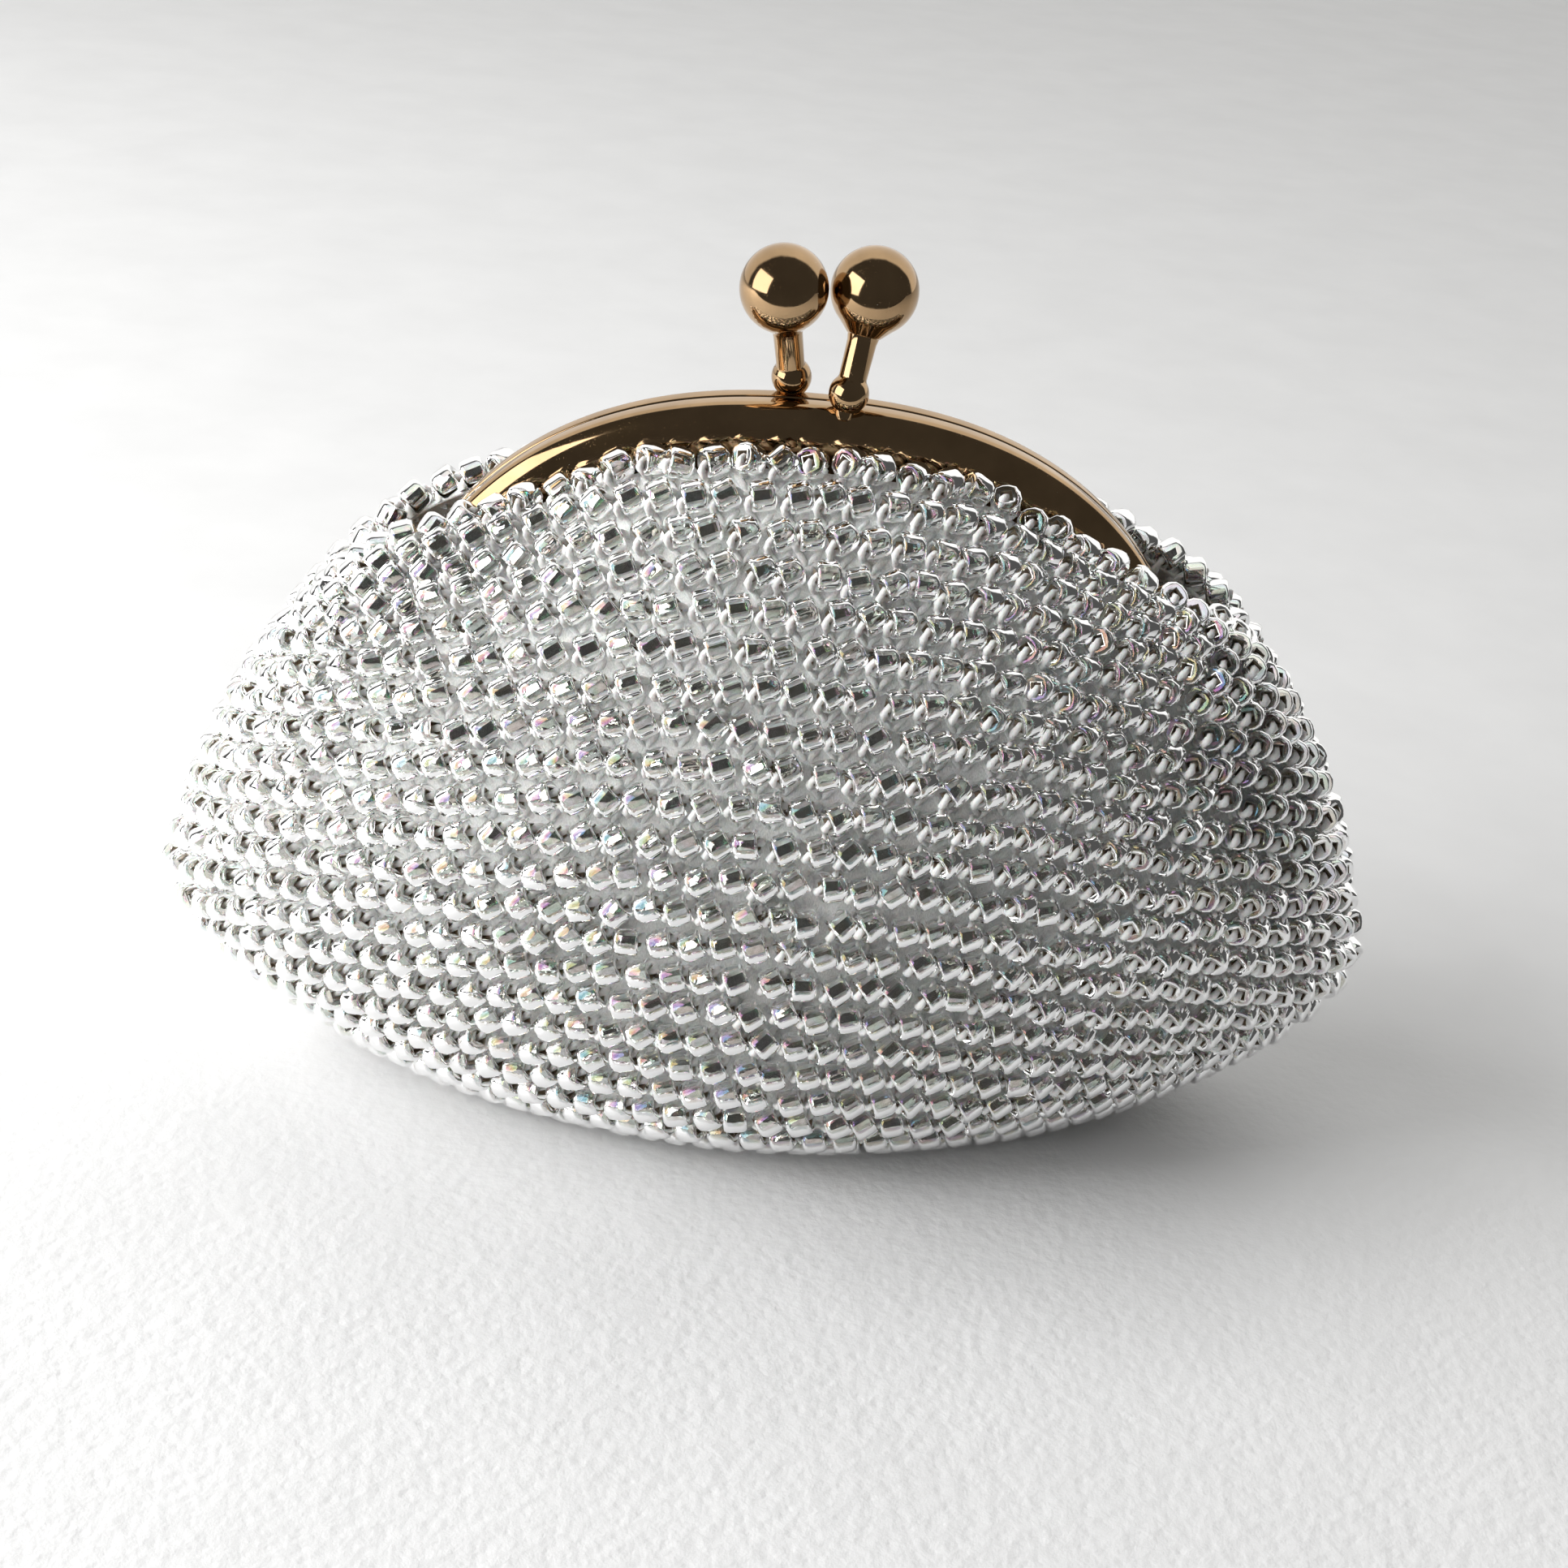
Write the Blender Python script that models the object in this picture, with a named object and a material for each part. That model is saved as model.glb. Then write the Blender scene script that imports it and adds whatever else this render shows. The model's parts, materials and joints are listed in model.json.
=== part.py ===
"""Kiss-lock evening purse: a bead-crochet bag on two hinged arched metal halves.

X runs along the purse, -Y is the front and Z is up.  The origin is on the floor, under the middle of the purse.
Both halves of the frame turn on one axis, through the two rivets.
"""

import math

import bmesh
import bpy
import numpy as np
from mathutils import Matrix, Vector

# Frame: an arch on a flattened ellipse, made as two channels that face each other
ARCH_HALF_WIDTH = 0.0425
ARCH_RISE = 0.0435
ARCH_SQUARENESS = 2.35
ARCH_CENTRE_HEIGHT = 0.0345
ARCH_END_ANGLE = math.radians(70)
HALF_INNER_Y = 0.00015
HALF_DEPTH = 0.0033
BAND_HEIGHT = 0.0070
SHEET = 0.0005
BACK_LIP_INSET = 0.0010
EDGE_DEPTH = 0.0020
EDGE_DROP = 0.0032
EDGE_STEPS = 6
GAP = 0.0003

# Hinge
HINGE_HEIGHT = 0.0495
LUG_OUTER_X = 0.0406
LUG_THICKNESS = 0.0008
LUG_RADIUS = 0.0018
LUG_NECK_HEIGHT = 0.0018
LUG_TOP_HEIGHT = 0.0043
LUG_TOP_INSET = 0.0009
LUG_CLEARANCE = 0.0001
RIVET_RADIUS = 0.0007
RIVET_HEAD_RADIUS = 0.0014
RIVET_HEAD_HEIGHT = 0.0008
RIVET_TAIL_HEIGHT = 0.0007

# Kiss-lock knobs
KNOB_BASE_X = 0.0025
KNOB_BASE_Y = 0.0021
BALL_RADIUS = 0.0042
BALL_X = 0.00428
BALL_LEAN_Y = 0.0009
BALL_HEIGHT = 0.0888
BALL_FLAT_RADIUS = 0.0017
BALL_FLAT_DROP = 0.0043
BALL_CONE_START = math.radians(52)
BALL_BORE_DEPTH = 0.0024
COLLAR_RADIUS = 0.0019
COLLAR_HEIGHT = 0.0015
COLLAR_CUT = math.radians(35)
COLLAR_TOP = math.radians(46)
STEM_RADIUS = 0.0013
STEM_TOP_RADIUS = 0.0014
TENON_RADIUS = 0.0005
TENON_LENGTH = 0.0020
FOOT_RADIUS = 0.0014
FOOT_SKIRT = 0.0014
FOOT_HEIGHT = 0.0006
SADDLE_END_ANGLE = math.radians(14)
PEEN_RADIUS = 0.0007
PEEN_HEIGHT = 0.0005

# Paper cord in the channel
PAPER_CORD_RADIUS = 0.00045
PAPER_CORD_INSET = 0.0034
PAPER_CORD_END_ANGLE = math.radians(62)
PAPER_CORD_POINTS = 27

# Bag: outer face of the crochet, as a loop at the base, one at the widest place and one at the rim
BASE_HALF_LENGTH = 0.0370
BASE_HALF_DEPTH = 0.0150
WIDE_HALF_LENGTH = 0.0622
WIDE_HALF_DEPTH = 0.0240
TIP_HEIGHT = 0.0230
TIP_LEAN = 0.30
BELLY_HEIGHT = 0.0340
RIM_END_ANGLE = math.radians(66)
RIM_INSET = 0.0050
RIM_OUTSET = 0.0036
RIM_Y = 0.0050
BEAD_LAYER = 0.0024
CROCHET = 0.0008
LINING = 0.0006
HALF_COLUMNS = 21

# Levels on the wall of the bag: 0 is the base edge, 1 the widest place and 2 the rim
RIM_LEVEL = 2.0
CROWN_SPLIT = 1.34
SIDE_SPLIT = 1.66
LINING_TOP = 1.80
LINING_FIRST_COLUMN = 4
BAND_MARGIN = 0.008
SPLIT_MARGIN = 0.012
BOWL_STEPS = 8
PANEL_STEPS = 4
BOWL_BEAD_BANDS = 4
PANEL_BEAD_BANDS = 3

# Fineness of round shapes
ARCH_SEGMENTS = 36
LATHE_SEGMENTS = 20

# Colour, roughness and metallic of each finish
ROSE_GOLD = ((0.62, 0.44, 0.31, 1.0), 0.12, 1.0)
GLASS_BEADS = ((0.80, 0.82, 0.84, 1.0), 0.15, 0.3)
WHITE_COTTON = ((0.88, 0.88, 0.87, 1.0), 0.85, 0.0)
LINING_SATIN = ((0.84, 0.83, 0.80, 1.0), 0.45, 0.0)
KRAFT_PAPER = ((0.62, 0.50, 0.36, 1.0), 0.90, 0.0)


def smooth_step(value):
    value = np.clip(value, 0.0, 1.0)
    return value * value * (3.0 - 2.0 * value)


def evenly(points, count):
    """The same path as count points at equal distances."""
    lengths = np.linalg.norm(np.diff(points, axis=0), axis=1)
    travelled = np.concatenate([[0.0], np.cumsum(lengths)])
    wanted = np.linspace(0.0, travelled[-1], count)
    return np.stack([np.interp(wanted, travelled, column) for column in points.T], axis=-1)


def arch_point(angle, inset):
    """X and Z on the arch, inset towards its inside; angle 0 is the crown."""
    sine, cosine = np.sin(angle), np.cos(angle)
    power = 2.0 / ARCH_SQUARENESS
    x = np.sign(sine) * (ARCH_HALF_WIDTH - inset) * np.abs(sine) ** power
    z = ARCH_CENTRE_HEIGHT + (ARCH_RISE - inset) * np.abs(cosine) ** power
    return x, z


def rim_path(count):
    """Front edge of the crochet: under the band at the crown, over the band's ends at the sides."""
    along = np.linspace(-1.0, 1.0, 401)
    outward = smooth_step((np.abs(along) - 0.45) / 0.55)
    x, z = arch_point(along * RIM_END_ANGLE, RIM_INSET - (RIM_INSET + RIM_OUTSET) * outward)
    y = -RIM_Y * np.sqrt(1.0 - smooth_step((np.abs(along) - 0.80) / 0.20))
    return evenly(np.stack([x, y, z], axis=-1), count)


def widest_path(count):
    """Front half of the loop round the widest place, pointed at the two tips."""
    turn = np.linspace(math.pi, 0.0, 401)
    sine, cosine = np.sin(turn), np.cos(turn)
    z = TIP_HEIGHT + (BELLY_HEIGHT - TIP_HEIGHT) * sine**1.5
    return evenly(np.stack([WIDE_HALF_LENGTH * cosine, -WIDE_HALF_DEPTH * sine**1.25, z], axis=-1), count)


def base_path(count):
    """Front half of the edge of the flat base."""
    turn = np.linspace(math.pi, 0.0, 401)
    sine, cosine = np.sin(turn), np.cos(turn)
    height = np.full_like(turn, BEAD_LAYER)
    points = np.stack([BASE_HALF_LENGTH * cosine, -BASE_HALF_DEPTH * sine, height], axis=-1)
    return evenly(points, count)


def whole_loop(front):
    """A front half from left to right, closed by its mirror image at the back."""
    back = front[-2:0:-1] * np.array([1.0, -1.0, 1.0])
    return np.concatenate([front, back])


def unit(vectors):
    return vectors / np.maximum(np.linalg.norm(vectors, axis=-1, keepdims=True), 1e-12)


def hermite(start, end, start_pull, end_pull, t):
    t = t[:, None]
    return (
        (2 * t**3 - 3 * t**2 + 1) * start
        + (t**3 - 2 * t**2 + t) * start_pull
        + (-2 * t**3 + 3 * t**2) * end
        + (t**3 - t**2) * end_pull
    )


BASE = whole_loop(base_path(HALF_COLUMNS))
WIDE = whole_loop(widest_path(HALF_COLUMNS))
RIM = whole_loop(rim_path(HALF_COLUMNS))
COLUMNS = len(WIDE)


def wall_points(level):
    """Outer face of the crochet at a level per column: 0 base edge, 1 widest place, 2 rim."""
    up = np.array([0.0, 0.0, 1.0])
    outward = unit(WIDE * np.array([1.0, 1.0, 0.0]))
    lower_span = np.linalg.norm(WIDE - BASE, axis=1, keepdims=True)
    upper_span = np.linalg.norm(RIM - WIDE, axis=1, keepdims=True)
    pointed = np.abs(WIDE[:, :1] / WIDE_HALF_LENGTH) ** 3
    middle = unit(up - TIP_LEAN * pointed * outward)
    base_pull = (outward + 0.25 * up) * lower_span
    rim_pull = (0.8 * unit(RIM - WIDE) + 0.45 * unit(RIM * np.array([-0.9, -4.0, 0.0]))) * upper_span
    lower = hermite(BASE, WIDE, base_pull, 0.9 * middle * lower_span, np.clip(level, 0.0, 1.0))
    upper = hermite(WIDE, RIM, 0.9 * middle * upper_span, rim_pull, np.clip(level - 1.0, 0.0, 1.0))
    return np.where(level[:, None] < 1.0, lower, upper)


def wall(level, offset=0.0):
    """Points on the wall, moved outward by offset; level is one number or one per column."""
    level = np.broadcast_to(np.asarray(level, dtype=float), (COLUMNS,))
    step = 0.01
    rise = wall_points(np.minimum(level + step, 2.0)) - wall_points(np.maximum(level - step, 0.0))
    points = wall_points(level)
    along = np.roll(points, -1, axis=0) - np.roll(points, 1, axis=0)
    return points + offset * unit(np.cross(along, rise))


def split_level():
    """Level of the line, just under the hinge, where the bowl ends and the upper panels begin."""
    across = np.abs(WIDE[:, 0]) / WIDE_HALF_LENGTH
    return CROWN_SPLIT + (SIDE_SPLIT - CROWN_SPLIT) * across**2.2


def same_level(level):
    """One level for every column of the wall."""
    return np.full(COLUMNS, level)


def between(start, end, steps):
    return [start + (end - start) * step / steps for step in range(steps + 1)]


def clear_scene():
    for thing in list(bpy.data.objects):
        bpy.data.objects.remove(thing, do_unlink=True)


def finish_material(name, finish):
    material = bpy.data.materials.new(name)
    material.use_nodes = True
    shader = material.node_tree.nodes["Principled BSDF"]
    shader.inputs["Base Color"].default_value = finish[0]
    shader.inputs["Roughness"].default_value = finish[1]
    shader.inputs["Metallic"].default_value = finish[2]
    return material


def add_piece(name, bm, finish, round_shape=True):
    """Make an object of a bmesh, with its faces pointing out and its own material."""
    bmesh.ops.recalc_face_normals(bm, faces=bm.faces)
    mesh = bpy.data.meshes.new(name)
    bm.to_mesh(mesh)
    bm.free()
    piece = bpy.data.objects.new(name, mesh)
    bpy.context.scene.collection.objects.link(piece)
    mesh.materials.append(finish_material(name, finish))
    if round_shape:
        mesh.shade_smooth()
        mesh.set_sharp_from_angle(angle=math.radians(35))
    return piece


def combine(piece, tool, operation):
    """Join or cut with a tool that isn't part of the model."""
    tool.hide_render = True
    tool.display_type = "WIRE"
    modifier = piece.modifiers.new(tool.name, "BOOLEAN")
    modifier.operation = operation
    modifier.object = tool
    modifier.solver = "EXACT"


def hang_on(piece, pivot):
    """Give a piece its parent empty, which stands on the hinge axis, and leave it where it is."""
    piece.parent = pivot
    piece.matrix_parent_inverse = pivot.matrix_world.inverted()


def bridge_rings(bm, rings, closed_stack):
    """Join rings of points into a skin; a stack that isn't closed is capped at both ends."""
    loops = [[bm.verts.new(point) for point in ring] for ring in rings]
    pairs = list(zip(loops, loops[1:]))
    if closed_stack:
        pairs.append((loops[-1], loops[0]))
    for low, high in pairs:
        for i in range(len(low)):
            j = (i + 1) % len(low)
            bm.faces.new((low[i], low[j], high[j], high[i]))
    if not closed_stack:
        bm.faces.new(loops[0])
        bm.faces.new(loops[-1])


def slab(bm, outer, inner):
    """A closed sheet between two grids of points, one row of points after another."""
    rings = []
    for outer_row, inner_row in zip(outer, inner):
        rings.append(list(outer_row) + list(inner_row[::-1]))
    bridge_rings(bm, rings, closed_stack=False)


def lathe(profile, segments=LATHE_SEGMENTS):
    """Turn a profile of (radius, height) round Z; its first and last points lie on the axis."""
    bm = bmesh.new()
    rings = []
    for radius, height in profile[1:-1]:
        turns = [2.0 * math.pi * k / segments for k in range(segments)]
        rings.append([Vector((radius * math.cos(t), radius * math.sin(t), height)) for t in turns])
    bridge_rings(bm, rings, closed_stack=False)
    return bm


def make_bowl(name, outer_offset, inner_offset, finish):
    """The bag below the hinge, as one layer of it with a flat bottom."""
    levels = between(same_level(0.0), split_level(), BOWL_STEPS)
    outer = [wall(level, outer_offset) for level in levels]
    inner = [wall(level, inner_offset) for level in levels]
    outer[0][:, 2] = BEAD_LAYER - outer_offset
    inner[0][:, 2] = BEAD_LAYER - inner_offset
    bm = bmesh.new()
    bridge_rings(bm, outer + inner[::-1], closed_stack=False)
    return add_piece(name, bm, finish)


def make_bowl_beads():
    """Rounds of beads on the bowl, in bands one above the other, and the beads that it stands on."""
    bands = between(same_level(0.0), split_level(), BOWL_BEAD_BANDS)
    for number in range(BOWL_BEAD_BANDS):
        low = bands[number] + BAND_MARGIN
        high = bands[number + 1] - BAND_MARGIN
        outer = [wall(level, BEAD_LAYER) for level in between(low, high, 2)]
        inner = [wall(level, GAP) for level in between(low, high, 2)]
        bm = bmesh.new()
        bridge_rings(bm, outer + inner[::-1], closed_stack=True)
        add_piece(f"bowl_beads_{number + 1}", bm, GLASS_BEADS)
    foot = BASE * (1.0 - GAP / BASE_HALF_DEPTH)
    bm = bmesh.new()
    bridge_rings(bm, [foot * (1, 1, 0), foot * (1, 1, 0) + (0, 0, BEAD_LAYER - GAP)], closed_stack=False)
    add_piece("base_beads", bm, GLASS_BEADS)


def panel_rows(levels, offset, first_column=0):
    """Rows of points of the front upper panel, kept on its own side of the purse's middle plane."""
    rows = []
    for level in levels:
        row = wall(level, offset)[first_column : HALF_COLUMNS - first_column]
        row[:, 1] = np.minimum(row[:, 1], -HALF_INNER_Y)
        rows.append(row)
    return rows


def make_panel(name, levels, outer_offset, inner_offset, finish, turn, first_column=0):
    """A layer of the bag above the hinge: the front one, or turned half round the back one."""
    bm = bmesh.new()
    outer = panel_rows(levels, outer_offset, first_column)
    inner = panel_rows(levels, inner_offset, first_column)
    slab(bm, outer, inner)
    bm.transform(turn)
    return add_piece(name, bm, finish)


def make_upper_bag(side, turn, pivot):
    """Crochet, lining and bead bands that hang from one half of the frame."""
    split = split_level()
    start = split + SPLIT_MARGIN
    levels = between(start, same_level(RIM_LEVEL), PANEL_STEPS)
    hang_on(make_panel(f"{side}_crochet_panel", levels, 0.0, -CROCHET, WHITE_COTTON, turn), pivot)
    inside = -CROCHET - GAP
    levels = between(start, same_level(LINING_TOP), PANEL_STEPS)
    lining = make_panel(
        f"{side}_lining_panel", levels, inside, inside - LINING, LINING_SATIN, turn, LINING_FIRST_COLUMN
    )
    hang_on(lining, pivot)
    bands = between(split, same_level(RIM_LEVEL), PANEL_BEAD_BANDS)
    for number in range(PANEL_BEAD_BANDS):
        levels = between(bands[number] + SPLIT_MARGIN, bands[number + 1] - BAND_MARGIN, 2)
        band = make_panel(f"{side}_beads_{number + 1}", levels, BEAD_LAYER, GAP, GLASS_BEADS, turn)
        hang_on(band, pivot)


def edge_points(inward):
    """Points (inset, depth) of the rounded edge between the top and the face of the band, moved inward."""
    points = []
    for step in range(EDGE_STEPS + 1):
        turn = math.radians(90.0 * step / EDGE_STEPS)
        inset = EDGE_DROP - (EDGE_DROP - inward) * math.cos(turn)
        depth = HALF_INNER_Y + HALF_DEPTH - EDGE_DEPTH + (EDGE_DEPTH - inward) * math.sin(turn)
        points.append((inset, depth))
    return points


def channel_section():
    """Half of the frame cut across, as (inset, depth): a U that is open towards the inside of the arch."""
    near, far = HALF_INNER_Y, HALF_INNER_Y + HALF_DEPTH
    lip = BAND_HEIGHT - BACK_LIP_INSET
    return (
        [(0.0, near)]
        + edge_points(0.0)
        + [(BAND_HEIGHT, far), (BAND_HEIGHT, far - SHEET)]
        + edge_points(SHEET)[::-1]
        + [(SHEET, near + SHEET), (lip, near + SHEET), (lip, near)]
    )


def saddle_section():
    """Outline of the frame's top and edge with a gap round it, as (inset, depth)."""
    return [(-GAP, -GAP)] + edge_points(-GAP) + [(BAND_HEIGHT, HALF_INNER_Y + HALF_DEPTH), (BAND_HEIGHT, -GAP)]


def sweep_arch(section, end_angle, segments):
    """Sweep a section of (inset, depth) along the arch, the same way to both sides of the crown."""
    bm = bmesh.new()
    rings = []
    for step in range(segments + 1):
        angle = end_angle * (2.0 * step / segments - 1.0)
        ring = []
        for inset, depth in section:
            x, z = arch_point(angle, inset)
            ring.append(Vector((x, -depth, z)))
        rings.append(ring)
    bridge_rings(bm, rings, closed_stack=False)
    return bm


def make_lug(name, outer_x, side):
    """Flat ear that carries the hinge hole at one end of the front half."""
    low, high = sorted((side * outer_x, side * (outer_x - LUG_THICKNESS)))
    outline = []
    for step in range(13):
        turn = math.radians(180.0 + 180.0 * step / 12)
        outline.append((LUG_RADIUS * math.cos(turn), HINGE_HEIGHT + LUG_RADIUS * math.sin(turn)))
    near, far = -HALF_INNER_Y - LUG_CLEARANCE, -HALF_INNER_Y - HALF_DEPTH + LUG_TOP_INSET
    neck, top = HINGE_HEIGHT + LUG_NECK_HEIGHT, HINGE_HEIGHT + LUG_TOP_HEIGHT
    outline += [(near, neck), (near, top), (far, top)]
    bm = bmesh.new()
    rings = [[Vector((x, y, z)) for y, z in outline] for x in (low, high)]
    bridge_rings(bm, rings, closed_stack=False)
    return add_piece(name, bm, ROSE_GOLD)


def make_rod(name, radius, start, end, segments=16):
    """A plain cylinder from one point to another."""
    axis = Vector(end) - Vector(start)
    bm = lathe([(0, 0), (radius, 0), (radius, axis.length), (0, axis.length)], segments)
    bm.transform(Matrix.Translation(start) @ axis.to_track_quat("Z", "Y").to_matrix().to_4x4())
    return add_piece(name, bm, ROSE_GOLD)


def make_frame(side, turn, lug_outer_x, pivot):
    """One half of the frame: the channel, its two hinge lugs and the hole for its knob."""
    bm = sweep_arch(channel_section(), ARCH_END_ANGLE, ARCH_SEGMENTS)
    frame = add_piece(f"{side}_frame", bm, ROSE_GOLD)
    crown = ARCH_CENTRE_HEIGHT + ARCH_RISE
    hole_base = (KNOB_BASE_X, -KNOB_BASE_Y, crown - 0.002)
    hole = make_rod(f"{side}_knob_hole", TENON_RADIUS + GAP, hole_base, (*hole_base[:2], crown + 0.002))
    reach = ARCH_HALF_WIDTH + 0.005
    pin_hole = make_rod(
        f"{side}_pin_hole", RIVET_RADIUS + GAP, (-reach, 0.0, HINGE_HEIGHT), (reach, 0.0, HINGE_HEIGHT)
    )
    left = make_lug(f"{side}_left_lug", lug_outer_x, -1)
    right = make_lug(f"{side}_right_lug", lug_outer_x, 1)
    for tool, operation in ((left, "UNION"), (right, "UNION"), (hole, "DIFFERENCE"), (pin_hole, "DIFFERENCE")):
        combine(frame, tool, operation)
    for thing in (frame, left, right, hole, pin_hole):
        thing.data.transform(turn)
    hang_on(frame, pivot)


def make_ball(side, turn, base, centre, pivot):
    """Ball of a knob, coned underneath and bored for the stem."""
    profile = [(0.0, BALL_RADIUS)]
    for step in range(1, 12):
        tilt = math.radians(90) - (math.radians(90) + BALL_CONE_START) * step / 11
        profile.append((BALL_RADIUS * math.cos(tilt), BALL_RADIUS * math.sin(tilt)))
    bore = TENON_RADIUS + GAP
    profile += [(BALL_FLAT_RADIUS, -BALL_FLAT_DROP), (bore, -BALL_FLAT_DROP)]
    profile += [(bore, BALL_BORE_DEPTH - BALL_FLAT_DROP), (0.0, BALL_BORE_DEPTH - BALL_FLAT_DROP)]
    bm = lathe([profile[0], (0.0004, BALL_RADIUS)] + profile[1:], 24)
    lean = (centre - base).to_track_quat("Z", "Y").to_matrix().to_4x4()
    bm.transform(turn @ Matrix.Translation(centre) @ lean)
    hang_on(add_piece(f"{side}_knob_ball", bm, ROSE_GOLD), pivot)


def make_stem(side, turn, base, centre, pivot):
    """Stem of a knob: foot, collar ball, leaning post, and a tenon at each end."""
    length = (centre - base).length
    shoulder = length - BALL_FLAT_DROP - GAP
    post = [(0.0, COLLAR_HEIGHT - COLLAR_RADIUS * math.sin(COLLAR_CUT))]
    for step in range(9):
        tilt = (COLLAR_CUT + COLLAR_TOP) * step / 8 - COLLAR_CUT
        post.append((COLLAR_RADIUS * math.cos(tilt), COLLAR_HEIGHT + COLLAR_RADIUS * math.sin(tilt)))
    post += [(STEM_RADIUS, COLLAR_HEIGHT + COLLAR_RADIUS), (STEM_TOP_RADIUS, shoulder)]
    post += [(TENON_RADIUS, shoulder), (TENON_RADIUS, shoulder + TENON_LENGTH), (0.0, shoulder + TENON_LENGTH)]
    bm = lathe(post)
    lean = (centre - base).to_track_quat("Z", "Y").to_matrix().to_4x4()
    bm.transform(Matrix.Translation(base) @ lean)
    stem = add_piece(f"{side}_knob_stem", bm, ROSE_GOLD)
    inside = -SHEET - GAP
    peen = inside - PEEN_HEIGHT
    pin = [(0.0, peen), (TENON_RADIUS, peen), (PEEN_RADIUS, inside), (TENON_RADIUS, inside)]
    pin += [(TENON_RADIUS, FOOT_HEIGHT), (0.0, FOOT_HEIGHT)]
    foot = [(0.0, -FOOT_SKIRT), (FOOT_RADIUS, -FOOT_SKIRT), (FOOT_RADIUS, FOOT_HEIGHT), (0.0, FOOT_HEIGHT)]
    stand = Matrix.Translation(base)
    tools = []
    for part, profile in (("foot", foot), ("pin", pin)):
        bm = lathe(profile)
        bm.transform(stand)
        tools.append(add_piece(f"{side}_knob_{part}", bm, ROSE_GOLD))
        combine(stem, tools[-1], "UNION")
    saddle = add_piece(f"{side}_knob_saddle", sweep_arch(saddle_section(), SADDLE_END_ANGLE, 8), ROSE_GOLD)
    combine(tools[0], saddle, "DIFFERENCE")
    for thing in (stem, saddle, *tools):
        thing.data.transform(turn)
    hang_on(stem, pivot)


def make_paper_cord(side, turn, pivot):
    """Twisted paper cord that wedges the fabric in the channel."""
    curve = bpy.data.curves.new(f"{side}_paper_cord", "CURVE")
    curve.dimensions = "3D"
    curve.bevel_depth = PAPER_CORD_RADIUS
    curve.bevel_resolution = 2
    curve.use_fill_caps = True
    spline = curve.splines.new("POLY")
    last = PAPER_CORD_POINTS - 1
    spline.points.add(last)
    for number in range(PAPER_CORD_POINTS):
        angle = PAPER_CORD_END_ANGLE * (2.0 * number / last - 1.0)
        x, z = arch_point(angle, PAPER_CORD_INSET)
        point = turn @ Vector((x, -HALF_INNER_Y - HALF_DEPTH / 2, z))
        spline.points[number].co = (*point, 1.0)
    cord = bpy.data.objects.new(f"{side}_paper_cord", curve)
    bpy.context.scene.collection.objects.link(cord)
    curve.materials.append(finish_material(f"{side}_paper_cord", KRAFT_PAPER))
    hang_on(cord, pivot)


def make_rivet(name, side, pivot):
    """Hinge rivet through the front lug and the back lug inside it."""
    outside = LUG_OUTER_X + GAP
    inside = LUG_OUTER_X - 2 * LUG_THICKNESS - 2 * GAP
    end = inside - RIVET_TAIL_HEIGHT
    profile = [(0.0, end), (RIVET_HEAD_RADIUS * 0.8, end), (RIVET_HEAD_RADIUS * 0.9, inside)]
    profile += [(RIVET_RADIUS, inside), (RIVET_RADIUS, outside), (RIVET_HEAD_RADIUS, outside)]
    shoulder, top = outside + 0.7 * RIVET_HEAD_HEIGHT, outside + RIVET_HEAD_HEIGHT
    profile += [(RIVET_HEAD_RADIUS * 0.8, shoulder), (RIVET_HEAD_RADIUS * 0.3, top), (0.0, top)]
    bm = lathe(profile, 16)
    outward = Vector((side, 0.0, 0.0)).to_track_quat("Z", "Y").to_matrix().to_4x4()
    bm.transform(Matrix.Translation((0.0, 0.0, HINGE_HEIGHT)) @ outward)
    hang_on(add_piece(name, bm, ROSE_GOLD), pivot)


def make_half(side, turn, lug_outer_x):
    """All that swings with one half of the frame, on an empty that stands on the hinge axis."""
    pivot = bpy.data.objects.new(f"{side}_hinge_axis", None)
    pivot.location = (0.0, 0.0, HINGE_HEIGHT)
    bpy.context.scene.collection.objects.link(pivot)
    bpy.context.view_layer.update()
    base = Vector((KNOB_BASE_X, -KNOB_BASE_Y, ARCH_CENTRE_HEIGHT + ARCH_RISE))
    centre = Vector((BALL_X, BALL_LEAN_Y, BALL_HEIGHT))
    make_frame(side, turn, lug_outer_x, pivot)
    make_stem(side, turn, base, centre, pivot)
    make_ball(side, turn, base, centre, pivot)
    make_paper_cord(side, turn, pivot)
    make_upper_bag(side, turn, pivot)
    return pivot


def main():
    clear_scene()
    front = make_half("front", Matrix.Identity(4), LUG_OUTER_X)
    make_half("back", Matrix.Rotation(math.pi, 4, "Z"), LUG_OUTER_X - LUG_THICKNESS - GAP)
    make_rivet("left_hinge_rivet", -1, front)
    make_rivet("right_hinge_rivet", 1, front)
    make_bowl("crochet_bowl", 0.0, -CROCHET, WHITE_COTTON)
    inside = -CROCHET - GAP
    make_bowl("lining_bowl", inside, inside - LINING, LINING_SATIN)
    make_bowl_beads()


main()
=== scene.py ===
"""Looks of the bead-crochet kiss-lock purse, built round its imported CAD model.

Metres, with -Y the front and Z up.  The metal of the back half is that of the front half, turned half round.
"""

import json
import math

import bmesh
import bpy
import numpy as np
from mathutils import Matrix, Vector


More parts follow.
